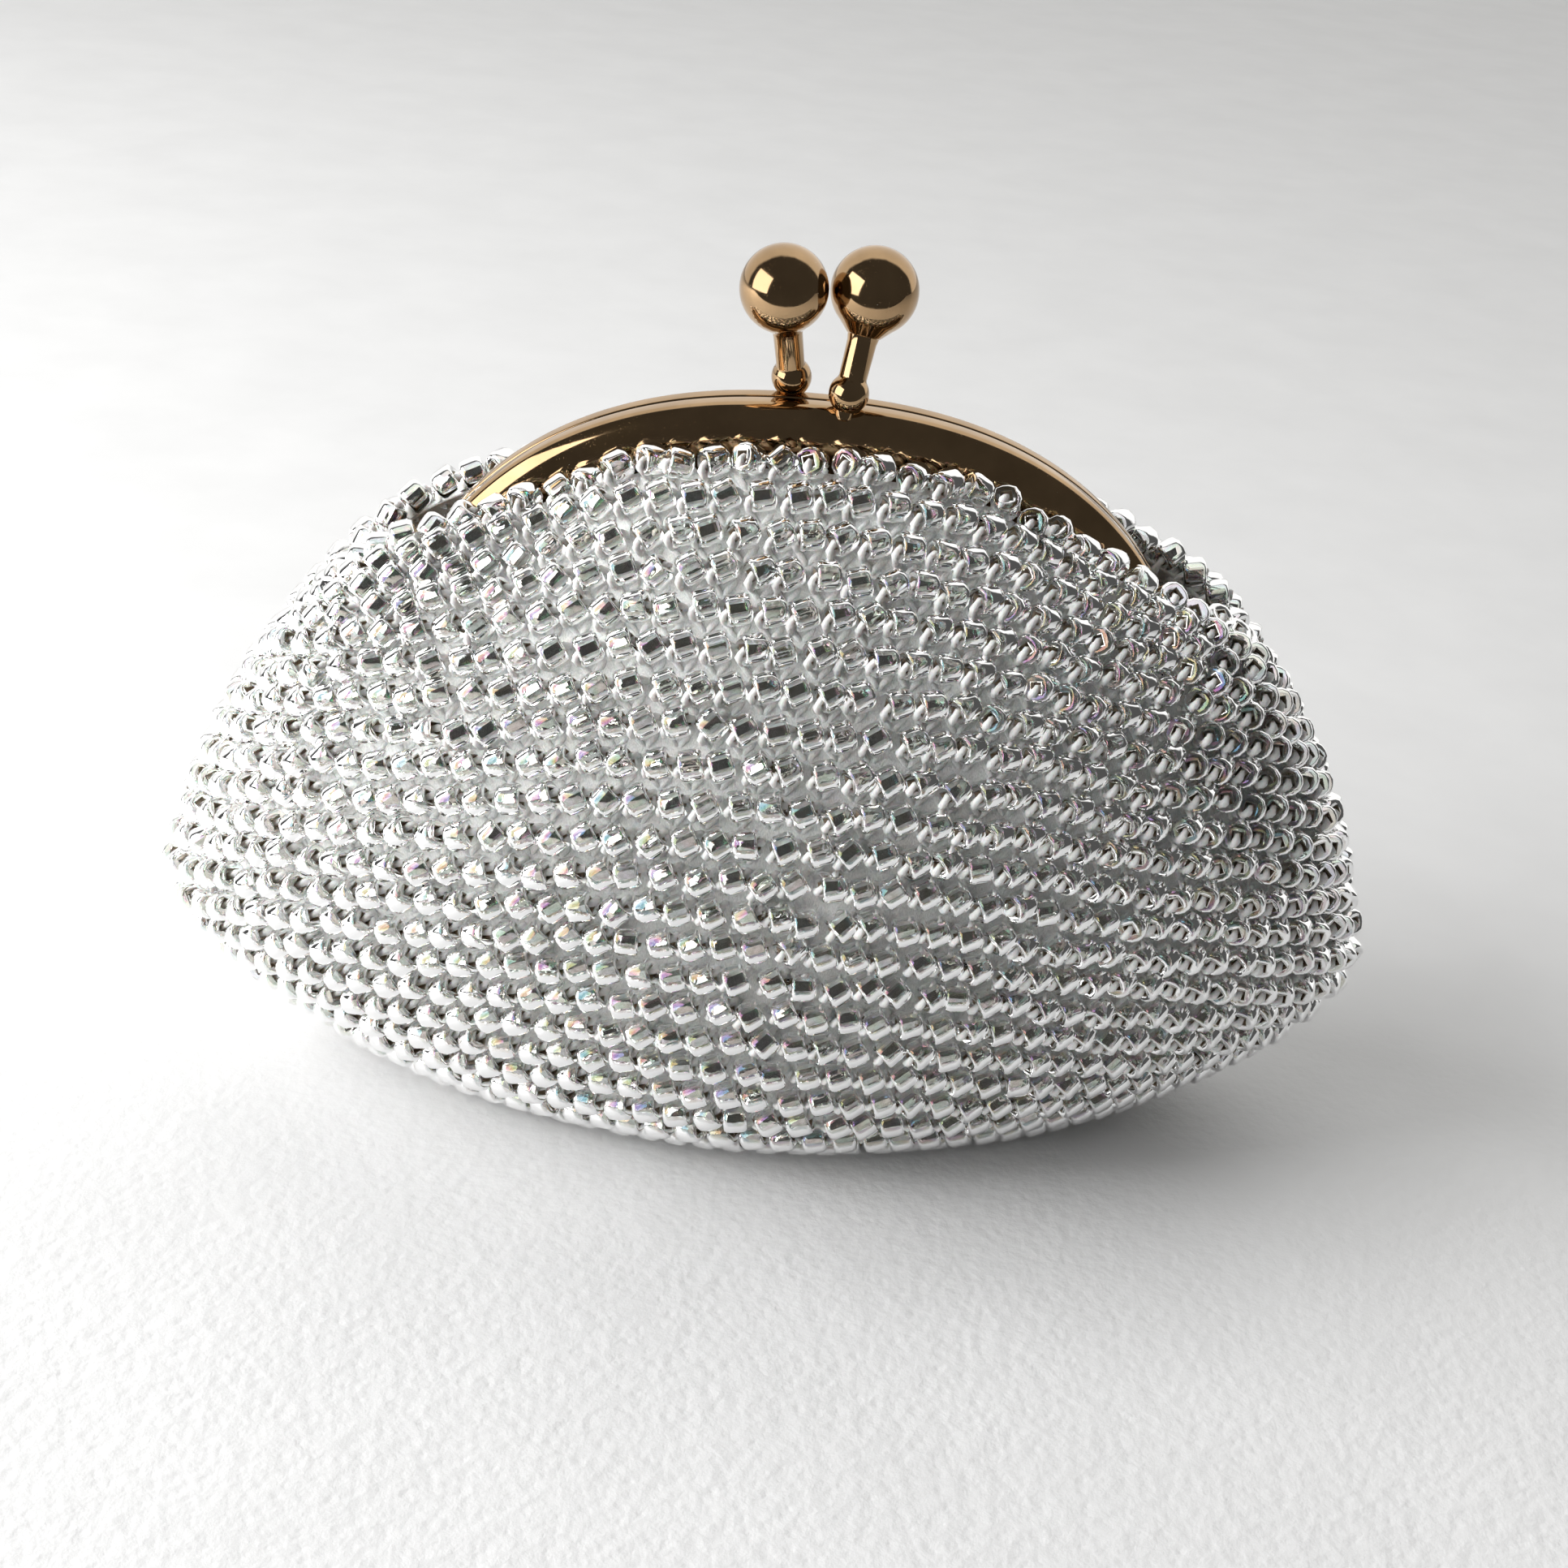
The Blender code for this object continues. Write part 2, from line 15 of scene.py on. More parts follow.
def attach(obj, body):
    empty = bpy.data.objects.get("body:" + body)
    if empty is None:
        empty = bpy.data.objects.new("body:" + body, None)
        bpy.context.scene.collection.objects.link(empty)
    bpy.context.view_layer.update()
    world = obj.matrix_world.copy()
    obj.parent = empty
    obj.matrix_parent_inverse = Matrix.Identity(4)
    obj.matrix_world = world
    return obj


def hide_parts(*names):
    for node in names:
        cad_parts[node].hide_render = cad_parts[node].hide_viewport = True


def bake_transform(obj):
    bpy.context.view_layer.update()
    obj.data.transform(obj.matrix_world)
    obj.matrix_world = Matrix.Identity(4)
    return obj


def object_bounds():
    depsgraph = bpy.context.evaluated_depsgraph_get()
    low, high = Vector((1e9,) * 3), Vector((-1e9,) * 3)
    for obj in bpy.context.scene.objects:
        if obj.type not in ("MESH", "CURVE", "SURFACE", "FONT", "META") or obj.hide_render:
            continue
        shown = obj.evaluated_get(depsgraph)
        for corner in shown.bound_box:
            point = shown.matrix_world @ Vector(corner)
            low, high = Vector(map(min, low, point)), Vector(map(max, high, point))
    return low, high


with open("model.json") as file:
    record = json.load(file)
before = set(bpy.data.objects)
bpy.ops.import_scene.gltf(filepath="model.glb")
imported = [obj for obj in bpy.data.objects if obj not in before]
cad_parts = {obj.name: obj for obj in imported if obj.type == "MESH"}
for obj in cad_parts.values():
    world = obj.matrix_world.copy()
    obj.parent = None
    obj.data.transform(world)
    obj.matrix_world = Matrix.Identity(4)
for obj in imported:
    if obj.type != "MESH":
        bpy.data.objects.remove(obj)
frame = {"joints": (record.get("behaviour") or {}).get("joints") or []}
CAD_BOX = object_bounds()

# The frame: two arched channels, with lugs, rivets and paper cords
ARCH_HALF_WIDTH = 0.0425
ARCH_RISE = 0.0435
ARCH_SQUARENESS = 2.35
ARCH_CENTRE_HEIGHT = 0.0345
ARCH_END_ANGLE = math.radians(70)
HALF_INNER_Y = 0.00015
HALF_DEPTH = 0.0033
BAND_HEIGHT = 0.0070
BACK_LIP_INSET = 0.0010
SHEET = 0.0005
EDGE_DEPTH = 0.0020
EDGE_DROP = 0.0032
FACE_FALL = 0.00090
CORNER_RADIUS = 0.00022
SHARP_ANGLE = math.radians(50)
HINGE_HEIGHT = frame["joints"][0]["pos_m"][2]
LUG_OUTER_X = {"front": 0.0406, "back": 0.0395}
LUG_THICKNESS = 0.0008
LUG_RADIUS = 0.0018
LUG_NECK_HEIGHT = 0.0018
LUG_TOP_HEIGHT = 0.0043
LUG_TOP_INSET = 0.0009
LUG_CLEARANCE = 0.0001
LUG_BEVEL = 0.00015
RIVET_HEAD_RADIUS = 0.0014
PAPER_CORD_RADIUS = 0.00042
PAPER_CORD_INSET = 0.0034
PAPER_CORD_END_ANGLE = math.radians(62)

# Kiss-lock knobs: a coned ball on a stem that stands on a collar and a foot
KNOB_BASE = (0.0025, -0.0021)
BALL_CENTRE = (0.00428, 0.0009, 0.0888)
BALL_RADIUS = 0.0042
BALL_CONE_START = math.radians(52)
BALL_FLAT_RADIUS = 0.0017
BALL_FLAT_DROP = 0.0043
COLLAR_RADIUS = 0.00195
COLLAR_HEIGHT = 0.0015
STEM_RADIUS = 0.00135
STEM_TOP_RADIUS = 0.00142
FOOT_RADIUS = 0.0009
FOOT_HEIGHT = 0.0006
FOOT_SKIRT = 0.0008

# The wall of the bag, by the same rule as in the CAD model
BASE_HALF_LENGTH = 0.0370
BASE_HALF_DEPTH = 0.0150
BASE_HEIGHT = 0.0024
BASE_RIDGE_HALF_LENGTH = 0.0220
WIDE_HALF_LENGTH = 0.0622
WIDE_HALF_DEPTH = 0.0240
TIP_HEIGHT = 0.0230
TIP_LEAN = 0.30
BELLY_HEIGHT = 0.0340
RIM_END_ANGLE = math.radians(66)
RIM_INSET = 0.0050
RIM_OUTSET = 0.0036
RIM_Y = 0.0050
RIM_OUTWARD_START = 0.45
RIM_CLOSING_SHARE = 0.20
WIDE_POINTEDNESS = 1.25
HALF_COLUMNS = 161

# How the beaded edge leaves the wall's rim: 0 at the crown, 1 at either side of the bag
RIM_RISE_PLACES = (0.0, 0.25, 0.375, 0.5, 0.625, 0.75, 0.875, 1.0)
LEFT_RIM_RISES = (0.0, 0.0003, 0.0014, 0.0014, 0.0, -0.0012, -0.0022, -0.0025)
RIGHT_RIM_RISES = (0.0, 0.0003, 0.0011, 0.0008, -0.0014, -0.0032, -0.0036, -0.0030)
RIM_RISE_FADE = 0.22

# Beads: each slants up along its round and tips one end outward, more so towards the right of the bag
BEAD_RADIUS = 0.00158
BEAD_LENGTH = 0.0024
BEAD_HOLE = 0.00124
BEAD_PITCH = 0.00310
ROW_PITCH = 0.00366
BEAD_LIFT = 0.00100
BEAD_SLANT = math.radians(24)
BEAD_TILT = math.radians(10)
BEAD_TURN = math.radians(32)
BEAD_TURN_REACH = 0.048
EDGE_BEAD_TILT = math.radians(20)
BEAD_FLOOR_GAP = 0.00012
BEADS_PER_PIECE = 420

# How much beads differ from each other, as standard deviations
SLANT_SPREAD = math.radians(8)
TILT_SPREAD = math.radians(9)
EDGE_SLANT_SPREAD = math.radians(14)
EDGE_TILT_SPREAD = math.radians(18)
LIFT_SPREAD = 0.00008
SHIFT_SPREAD = 0.00018
THREAD_SPREAD = 0.00010

# Thread, crochet ground and lining
THREAD_RADIUS = 0.00037
THREAD_TWIST = 0.0011
STITCH_DROP = 0.00058
GROUND_DROP = 0.0004
GROUND_RELIEF = 0.00012
GROUND_FIRST_SHARE = 0.004
CROCHET = 0.0008
LINING_GAP = 0.0003
LINING = 0.0006
LINING_FIRST_SHARE = 0.09

# The dark side of the room: from below the horizon in front, overhead, to beyond the zenith
DARK_LOW = math.radians(-12.5)
DARK_HIGH = math.radians(88.5)
DARK_EDGE = (-0.25, -0.15)
DARK_WOBBLE = 0.20
DARK_LEVEL = 0.08
BRIGHT_LEVEL = 1.05

# Camera and tabletop
CAMERA_AZIMUTH = math.radians(-2.7)
CAMERA_ELEVATION = math.radians(29.5)
CAMERA_ROLL = math.radians(5.9)
CAMERA_TARGET = (0.0005, 0.0, 0.0354)
CAMERA_DISTANCE = 0.239
CAMERA_LENS = 52.17
TABLE_HALF_WIDTH = 1.5
TABLE_FRONT = -0.155

MAP_LIMITS = ("From Min", "From Max", "To Min", "To Max")
random = np.random.default_rng(7)


# ---------------------------------------------------------------- shape of the wall


def smooth_step(value):
    value = np.clip(value, 0.0, 1.0)
    return value * value * (3.0 - 2.0 * value)


def unit(vectors):
    return vectors / np.maximum(np.linalg.norm(vectors, axis=-1, keepdims=True), 1e-12)


def travelled(points):
    """Distance along a path at each of its points."""
    return np.concatenate([[0.0], np.cumsum(np.linalg.norm(np.diff(points, axis=0), axis=1))])


def at_distance(points, wanted):
    """Points of a path at the wanted distances along it."""
    gone = travelled(points)
    return np.stack([np.interp(wanted, gone, column) for column in points.T], axis=-1)


def evenly(points, count):
    return at_distance(points, np.linspace(0.0, travelled(points)[-1], count))


def arch_point(angle, inset):
    """X and Z of the arch at an angle from its crown, moved inward by inset."""
    sine, cosine = np.sin(angle), np.cos(angle)
    power = 2.0 / ARCH_SQUARENESS
    x = np.sign(sine) * (ARCH_HALF_WIDTH - inset) * np.abs(sine) ** power
    z = ARCH_CENTRE_HEIGHT + (ARCH_RISE - inset) * np.abs(cosine) ** power
    return x, z


def whole_loop(front):
    """A front half round, from left to right, with its mirror image as the back."""
    back = front[-2:0:-1] * np.array([1.0, -1.0, 1.0])
    return np.concatenate([front, back])


def rim_loop():
    """The beaded edge's round: it lies under the arch, and reaches past it at the sides."""
    along = np.linspace(-1.0, 1.0, 401)
    outward = smooth_step((np.abs(along) - RIM_OUTWARD_START) / (1.0 - RIM_OUTWARD_START))
    x, z = arch_point(along * RIM_END_ANGLE, RIM_INSET - (RIM_INSET + RIM_OUTSET) * outward)
    closing = smooth_step((np.abs(along) - (1.0 - RIM_CLOSING_SHARE)) / RIM_CLOSING_SHARE)
    y = -RIM_Y * np.sqrt(1.0 - closing)
    return whole_loop(evenly(np.stack([x, y, z], axis=-1), HALF_COLUMNS))


def oval_loop(half_length, half_depth, power, low, high):
    """An oval round that is at height low at its ends and high at its middle; more power makes it pointed."""
    turn = np.linspace(math.pi, 0.0, 401)
    sine, cosine = np.sin(turn), np.cos(turn)
    z = low + (high - low) * sine**1.5
    points = np.stack([half_length * cosine, -half_depth * sine**power, z], axis=-1)
    return whole_loop(evenly(points, HALF_COLUMNS))


def hermite(start, end, start_pull, end_pull, t):
    """Point at t of a cubic curve with the given ends and end directions."""
    return (
        (2 * t**3 - 3 * t**2 + 1) * start
        + (t**3 - 2 * t**2 + t) * start_pull
        + (-2 * t**3 + 3 * t**2) * end
        + (t**3 - t**2) * end_pull
    )


def wall_grid(steps=80):
    """Rows of points from the rim, over the widest place and the base edge, to the middle of the base."""
    rim = rim_loop()
    wide = oval_loop(WIDE_HALF_LENGTH, WIDE_HALF_DEPTH, WIDE_POINTEDNESS, TIP_HEIGHT, BELLY_HEIGHT)
    base = oval_loop(BASE_HALF_LENGTH, BASE_HALF_DEPTH, 1.0, BASE_HEIGHT, BASE_HEIGHT)
    up = np.array([0.0, 0.0, 1.0])
    outward = unit(wide * np.array([1.0, 1.0, 0.0]))
    lower_span = np.linalg.norm(wide - base, axis=1, keepdims=True)
    upper_span = np.linalg.norm(rim - wide, axis=1, keepdims=True)
    pointed = np.abs(wide[:, :1] / WIDE_HALF_LENGTH) ** 3
    middle = unit(up - TIP_LEAN * pointed * outward)
    base_pull = (outward + 0.25 * up) * lower_span
    rim_pull = (0.8 * unit(rim - wide) + 0.45 * unit(rim * np.array([-0.9, -4.0, 0.0]))) * upper_span
    rows = []
    for t in np.linspace(1.0, 0.0, steps):
        rows.append(hermite(wide, rim, 0.9 * middle * upper_span, rim_pull, t))
    for t in np.linspace(1.0, 0.0, steps)[1:]:
        rows.append(hermite(base, wide, base_pull, 0.9 * middle * lower_span, t))
    ridge = base * np.array([BASE_RIDGE_HALF_LENGTH / BASE_HALF_LENGTH, 0.0, 1.0])
    for t in np.linspace(0.0, 1.0, steps // 3)[1:]:
        rows.append(base + (ridge - base) * t)
    return np.array(rows)


WALL = wall_grid()
COLUMNS = WALL.shape[1]
REACH = np.array([travelled(WALL[:, column]) for column in range(COLUMNS)]).T
REACH_SHARE = REACH / REACH[-1]
CROWN_COLUMN = HALF_COLUMNS // 2
ROWS = REACH[-1, CROWN_COLUMN] / ROW_PITCH


def rim_rise():
    """How far the beaded edge stands above the wall's rim: up beside the crown, down at the sides."""
    away = np.abs(np.arange(COLUMNS) - CROWN_COLUMN) / CROWN_COLUMN
    away = np.minimum(away, np.abs(2.0 - away))
    left = np.interp(away, RIM_RISE_PLACES, LEFT_RIM_RISES)
    right = np.interp(away, RIM_RISE_PLACES, RIGHT_RIM_RISES)
    side = smooth_step(0.5 + WALL[0, :, 0] / 0.010)
    return left + (right - left) * side


def round_of(share):
    """Points all round the bag at one share of the way from the rim to the middle of the base."""
    share = min(max(share, 0.0), 1.0)
    points = np.empty((COLUMNS, 3))
    for column in range(COLUMNS):
        for axis in range(3):
            points[column, axis] = np.interp(share, REACH_SHARE[:, column], WALL[:, column, axis])
    fade = max(0.0, 1.0 - share / RIM_RISE_FADE) ** 2
    return points + fade * rim_rise()[:, None] * unit(WALL[0] - WALL[6])


def round_frames(share):
    """A round with its unit directions: along it to the right, up the wall, and outward."""
    points = round_of(share)
    step = 0.006
    along = unit(np.roll(points, -1, axis=0) - np.roll(points, 1, axis=0))
    rise = round_of(share - step) - round_of(share + step)
    outward = unit(np.cross(along, rise))
    return points, along, unit(np.cross(outward, along)), outward


def spread_round(share, phase):
    """Evenly spaced places on a round, counted from the front middle, with their directions."""
    points, along, rise, outward = round_frames(share)
    order = np.roll(np.arange(COLUMNS), -CROWN_COLUMN)
    order = np.append(order, order[0])
    loop = points[order]
    gone = travelled(loop)
    count = max(4, round(gone[-1] / BEAD_PITCH))
    wanted = ((np.arange(count) + phase) % count) * gone[-1] / count
    fields = []
    for values in (points, along, rise, outward):
        columns = [np.interp(wanted, gone, values[order][:, axis]) for axis in range(3)]
        fields.append(np.stack(columns, axis=-1))
    return [fields[0]] + [unit(field) for field in fields[1:]]


def side_patch(side, shares, count, offset):
    """Grid of points on the front or back half of the wall, moved outward by offset."""
    half = HALF_COLUMNS - 1
    rows = []
    for share in shares:
        points, _, _, outward = round_frames(share)
        moved = points + offset * outward
        order = np.arange(0, half + 1) if side == "front" else np.append(np.arange(half, COLUMNS), 0)
        rows.append(evenly(moved[order], count))
    return np.array(rows)


# ---------------------------------------------------------------- node materials


class Shading:
    """One Principled material with short ways to add its nodes."""

    def __init__(self, name, **values):
        self.material = bpy.data.materials.new(name)
        self.material.use_nodes = True
        self.tree = self.material.node_tree
        self.shader = self.tree.nodes["Principled BSDF"]
        self.output = self.tree.nodes["Material Output"]
        for socket, value in values.items():
            self.shader.inputs[socket.replace("_", " ")].default_value = value
        self.place = self.node("ShaderNodeTexCoord").outputs["Object"]

    def node(self, kind, **settings):
        node = self.tree.nodes.new(kind)
        for name, value in settings.items():
            setattr(node, name, value)
        return node

    def link(self, source, target):
        self.tree.links.new(source, target)

    def stretch(self, scale, turn=(0.0, 0.0, 0.0)):
        node = self.node("ShaderNodeMapping")
        node.inputs["Scale"].default_value = scale
        node.inputs["Rotation"].default_value = turn
        self.link(self.place, node.inputs["Vector"])
        return node.outputs["Vector"]

    def noise(self, size, detail=3.0, place=None, roughness=0.55):
        """Noise whose grains are about this many metres across."""
        node = self.node("ShaderNodeTexNoise")
        node.inputs["Scale"].default_value = 1.0 / size
        node.inputs["Detail"].default_value = detail
        node.inputs["Roughness"].default_value = roughness
        self.link(place or self.place, node.inputs["Vector"])
        return node.outputs["Fac"]

    def cells(self, size, feature="F1"):
        node = self.node("ShaderNodeTexVoronoi", feature=feature)
        node.inputs["Scale"].default_value = 1.0 / size
        self.link(self.place, node.inputs["Vector"])
        return node.outputs["Distance"]

    def ramp(self, source, low, high, start=0.0, end=1.0):
        """Map source from low..high to start..end, which may be numbers or colours."""
        if isinstance(start, tuple):
            node = self.node("ShaderNodeValToRGB")
            for element, place, colour in zip(node.color_ramp.elements, (low, high), (start, end)):
                element.position = place
                element.color = (*colour, 1.0)
            self.link(source, node.inputs["Fac"])
            return node.outputs["Color"]
        node = self.node("ShaderNodeMapRange")
        for name, value in zip(MAP_LIMITS, (low, high, start, end)):
            node.inputs[name].default_value = value
        self.link(source, node.inputs["Value"])
        return node.outputs["Result"]

    def maths(self, operation, first, second):
        node = self.node("ShaderNodeMath", operation=operation)
        for socket, value in zip(node.inputs, (first, second)):
            if isinstance(value, (int, float)):
                socket.default_value = value
            else:
                self.link(value, socket)
        return node.outputs["Value"]

    def mix_colour(self, share, first, second):
        node = self.node("ShaderNodeMix", data_type="RGBA")
        sockets = (node.inputs["Factor"], node.inputs[6], node.inputs[7])
        for socket, value in zip(sockets, (share, first, second)):
            if isinstance(value, tuple):
                socket.default_value = (*value, 1.0)
            else:
                self.link(value, socket)
        return node.outputs[2]

    def bump(self, height, distance, strength=1.0, below=None):
        """Bump of that many metres from height, on top of another bump if given."""
        node = self.node("ShaderNodeBump")
        node.inputs["Distance"].default_value = distance
        node.inputs["Strength"].default_value = strength
        self.link(height, node.inputs["Height"])
        if below is not None:
            self.link(below, node.inputs["Normal"])
        self.link(node.outputs["Normal"], self.shader.inputs["Normal"])
        return node.outputs["Normal"]

    def drive(self, socket, source):
        self.link(source, self.shader.inputs[socket])


def rose_gold():
    """Pale rose-gold plating: soft mottling, hairline scratches and a few specks of dust."""
    s = Shading("rose_gold_metal", Metallic=1.0)
    mottle = s.ramp(s.noise(0.004), 0.35, 0.7, (0.40, 0.265, 0.145), (0.50, 0.335, 0.185))
    hairline = s.noise(0.00008, 1.0, s.stretch((0.05, 1.0, 1.0), (0.0, 0.6, 0.3)), 0.4)
    scratches = s.ramp(hairline, 0.74, 0.80)
    crossing = s.noise(0.00007, 1.0, s.stretch((1.0, 0.8, 0.04), (0.0, 0.4, 0.0)), 0.4)
    scratches = s.maths("MAXIMUM", scratches, s.ramp(crossing, 0.75, 0.81))
    speck = s.ramp(s.cells(0.0008), 0.05, 0.03)
    chosen = s.ramp(s.noise(0.0023, 1.0), 0.56, 0.60)
    dust = s.maths("MULTIPLY", speck, chosen)
    s.drive("Base Color", s.mix_colour(dust, mottle, (0.93, 0.90, 0.86)))
    smudge = s.ramp(s.noise(0.006, 4.0), 0.40, 0.75, 0.055, 0.13)
    rough = s.maths("ADD", smudge, s.maths("MULTIPLY", scratches, 0.12))
    s.drive("Roughness", s.maths("ADD", rough, s.maths("MULTIPLY", dust, 0.5)))
    orange_peel = s.bump(s.noise(0.0025, 2.0), 0.000005)
    s.bump(s.maths("SUBTRACT", dust, scratches), 0.000003, 1.0, orange_peel)
    return s.material


def clear_glass():
    """Clear bead glass with a faint rainbow coat; lamps shine through it."""
    s = Shading("bead_glass", IOR=1.58)
    s.shader.inputs["Transmission Weight"].default_value = 1.0
    s.shader.inputs["Thin Film IOR"].default_value = 1.85
    s.drive("Thin Film Thickness", s.ramp(s.noise(0.004, 1.0), 0.35, 0.65, 330.0, 520.0))
    s.drive("Base Color", s.ramp(s.noise(0.003, 1.0), 0.35, 0.65, (0.96, 0.97, 0.96), (1.0, 0.99, 0.965)))
    s.drive("Roughness", s.ramp(s.noise(0.0012), 0.35, 0.75, 0.015, 0.06))
    s.bump(s.noise(0.0011, 1.0), 0.00003)
    clear = s.node("ShaderNodeBsdfTransparent")
    path = s.node("ShaderNodeLightPath")
    mix = s.node("ShaderNodeMixShader")
    s.link(path.outputs["Is Shadow Ray"], mix.inputs["Fac"])
    s.link(s.shader.outputs["BSDF"], mix.inputs[1])
    s.link(clear.outputs["BSDF"], mix.inputs[2])
    s.link(mix.outputs["Shader"], s.output.inputs["Surface"])
    return s.material


def silver_lining():
    """Silvering in the holes of the beads, a little tarnished and streaky."""
    s = Shading("bead_silvering", Metallic=1.0)
    s.drive("Base Color", s.ramp(s.noise(0.0009), 0.30, 0.70, (0.50, 0.49, 0.45), (0.70, 0.70, 0.67)))
    s.drive("Roughness", s.ramp(s.noise(0.0005), 0.35, 0.75, 0.03, 0.14))
    s.bump(s.noise(0.0006, 2.0), 0.00002)
    return s.material


def bare_hole():
    """Inside of the silvering, seen down the hole of a bead: dull and brownish."""
    s = Shading("bead_hole", Metallic=0.7)
    s.drive("Base Color", s.ramp(s.noise(0.0008), 0.30, 0.70, (0.46, 0.37, 0.27), (0.66, 0.56, 0.44)))
    s.drive("Roughness", s.ramp(s.noise(0.0004), 0.35, 0.75, 0.25, 0.5))
    return s.material


def cotton(name, light, dark, fibre=0.00009):
    """White mercerised crochet cotton: fine fibres, soft shade between them, and a faint sheen."""
    s = Shading(name)
    s.shader.inputs["Sheen Weight"].default_value = 0.35
    s.shader.inputs["Sheen Roughness"].default_value = 0.4
    s.shader.inputs["Subsurface Weight"].default_value = 0.15
    s.shader.inputs["Subsurface Scale"].default_value = 0.0006
    fibres = s.noise(fibre, 2.0, s.stretch((1.0, 1.0, 0.35), (0.5, 0.3, 0.0)))
    tone = s.maths("ADD", s.maths("MULTIPLY", fibres, 0.6), s.maths("MULTIPLY", s.noise(0.0021), 0.4))
    s.drive("Base Color", s.ramp(tone, 0.35, 0.62, dark, light))
    s.drive("Roughness", s.ramp(fibres, 0.3, 0.7, 0.62, 0.85))
    s.bump(fibres, 0.00005)
    return s.material


def satin():
    """Ivory lining satin: fine twill with a soft sheen."""
    s = Shading("lining_satin")
    s.shader.inputs["Sheen Weight"].default_value = 0.3
    s.shader.inputs["Anisotropic"].default_value = 0.4
    weave = s.node("ShaderNodeTexWave", bands_direction="DIAGONAL")
    weave.inputs["Scale"].default_value = 1.0 / 0.0009
    weave.inputs["Distortion"].default_value = 0.6
    s.link(s.place, weave.inputs["Vector"])
    threads = weave.outputs["Fac"]
    s.drive("Base Color", s.ramp(s.noise(0.006), 0.3, 0.7, (0.80, 0.78, 0.73), (0.88, 0.87, 0.83)))
    s.drive("Roughness", s.ramp(threads, 0.0, 1.0, 0.32, 0.5))
    s.bump(threads, 0.00003)
    return s.material


def kraft_paper():
    """Twisted kraft-paper cord."""
    s = Shading("paper_cord")
    strands = s.noise(0.0003, 3.0, s.stretch((0.3, 1.0, 1.0), (0.0, 0.5, 0.0)))
    s.drive("Base Color", s.ramp(strands, 0.3, 0.7, (0.50, 0.38, 0.25), (0.70, 0.58, 0.42)))
    s.drive("Roughness", s.ramp(strands, 0.3, 0.7, 0.75, 0.95))
    s.bump(strands, 0.00008)
    return s.material


def pale_floor():
    """White tabletop with a fine pebbled grain that fades out behind the purse."""
    s = Shading("pale_tabletop")
    near = s.node("ShaderNodeSeparateXYZ")
    s.link(s.place, near.inputs["Vector"])
    shown = s.ramp(near.outputs["Y"], 0.03, -0.05)
    grain = s.maths("MULTIPLY", s.cells(0.0013, feature="SMOOTH_F1"), shown)
    fine = s.maths("MULTIPLY", s.noise(0.0007, 3.0), shown)
    s.drive("Base Color", s.ramp(s.noise(0.02), 0.3, 0.7, (0.80, 0.80, 0.80), (0.84, 0.84, 0.84)))
    s.drive("Roughness", s.ramp(fine, 0.3, 0.7, 0.45, 0.62))
    below = s.bump(fine, 0.00008)
    s.bump(grain, 0.00014, 0.8, below)
    return s.material


METAL = rose_gold()
GLASS = clear_glass()
SILVER = silver_lining()
HOLE = bare_hole()
THREAD = cotton("crochet_thread", (0.95, 0.95, 0.93), (0.80, 0.80, 0.79))
# The crochet ground is the same white cotton as the thread, given darker colours as painted shade under and
# between the beads.
GROUND_PAINTED_SHADE = cotton("crochet_ground_painted_shade", (0.90, 0.90, 0.88), (0.62, 0.62, 0.61), 0.00012)
SATIN = satin()
PAPER = kraft_paper()


# ---------------------------------------------------------------- building meshes


def add_mesh(name, points, faces, materials, face_materials=None, sharp_angle=None):
    mesh = bpy.data.meshes.new(name)
    faces = faces.tolist() if isinstance(faces, np.ndarray) else faces
    mesh.from_pydata(np.asarray(points).reshape(-1, 3).tolist(), [], faces)
    for material in materials:
        mesh.materials.append(material)
    if face_materials is not None:
        mesh.polygons.foreach_set("material_index", np.asarray(face_materials, dtype=np.int32))
    mesh.shade_smooth()
    if sharp_angle is not None:
        mesh.set_sharp_from_angle(angle=sharp_angle)
    piece = bpy.data.objects.new(name, mesh)
    bpy.context.scene.collection.objects.link(piece)
    return piece


def ring_faces(rings, sides, closed_stack=False):
    """Quads between rings of points; a closed stack also joins the last ring to the first."""
    faces = []
    last = rings if closed_stack else rings - 1
    for ring in range(last):
        low, high = ring * sides, ((ring + 1) % rings) * sides
        for k in range(sides):
            j = (k + 1) % sides
            faces.append((low + k, low + j, high + j, high + k))
    return np.array(faces)


def copies(template, faces, centres, axes):
    """Copies of a template, one at each centre, turned so that its X, Y and Z lie on three given axes."""
    points = centres[:, None, :] + np.einsum("vk,nkd->nvd", template, axes)
    shifted = faces[None, :, :] + (np.arange(len(centres)) * len(template))[:, None, None]
    return points, shifted.reshape(-1, faces.shape[1])


def bead_template(sides=12):
    """Rounded glass ring with a square hole, its axis along Z."""
    turns = math.radians(15) + 2.0 * math.pi * np.arange(sides) / sides
    square = 0.5 * BEAD_HOLE / np.maximum(np.abs(np.cos(turns)), np.abs(np.sin(turns)))
    end = BEAD_LENGTH / 2
    profile = [(0.0, end - 0.00010), (0.42, end), (0.70, end - 0.00002)]
    profile += [(0.92, end - 0.00024), (1.0, end - 0.0006)]
    profile += [(share, -height) for share, height in profile[::-1]]
    rings = []
    for share, height in profile:
        radius = square + (BEAD_RADIUS - square) * share
        ring = [radius * np.cos(turns), radius * np.sin(turns), np.full(sides, height)]
        rings.append(np.stack(ring, axis=-1))
    return np.concatenate(rings), ring_faces(len(rings), sides, closed_stack=True)


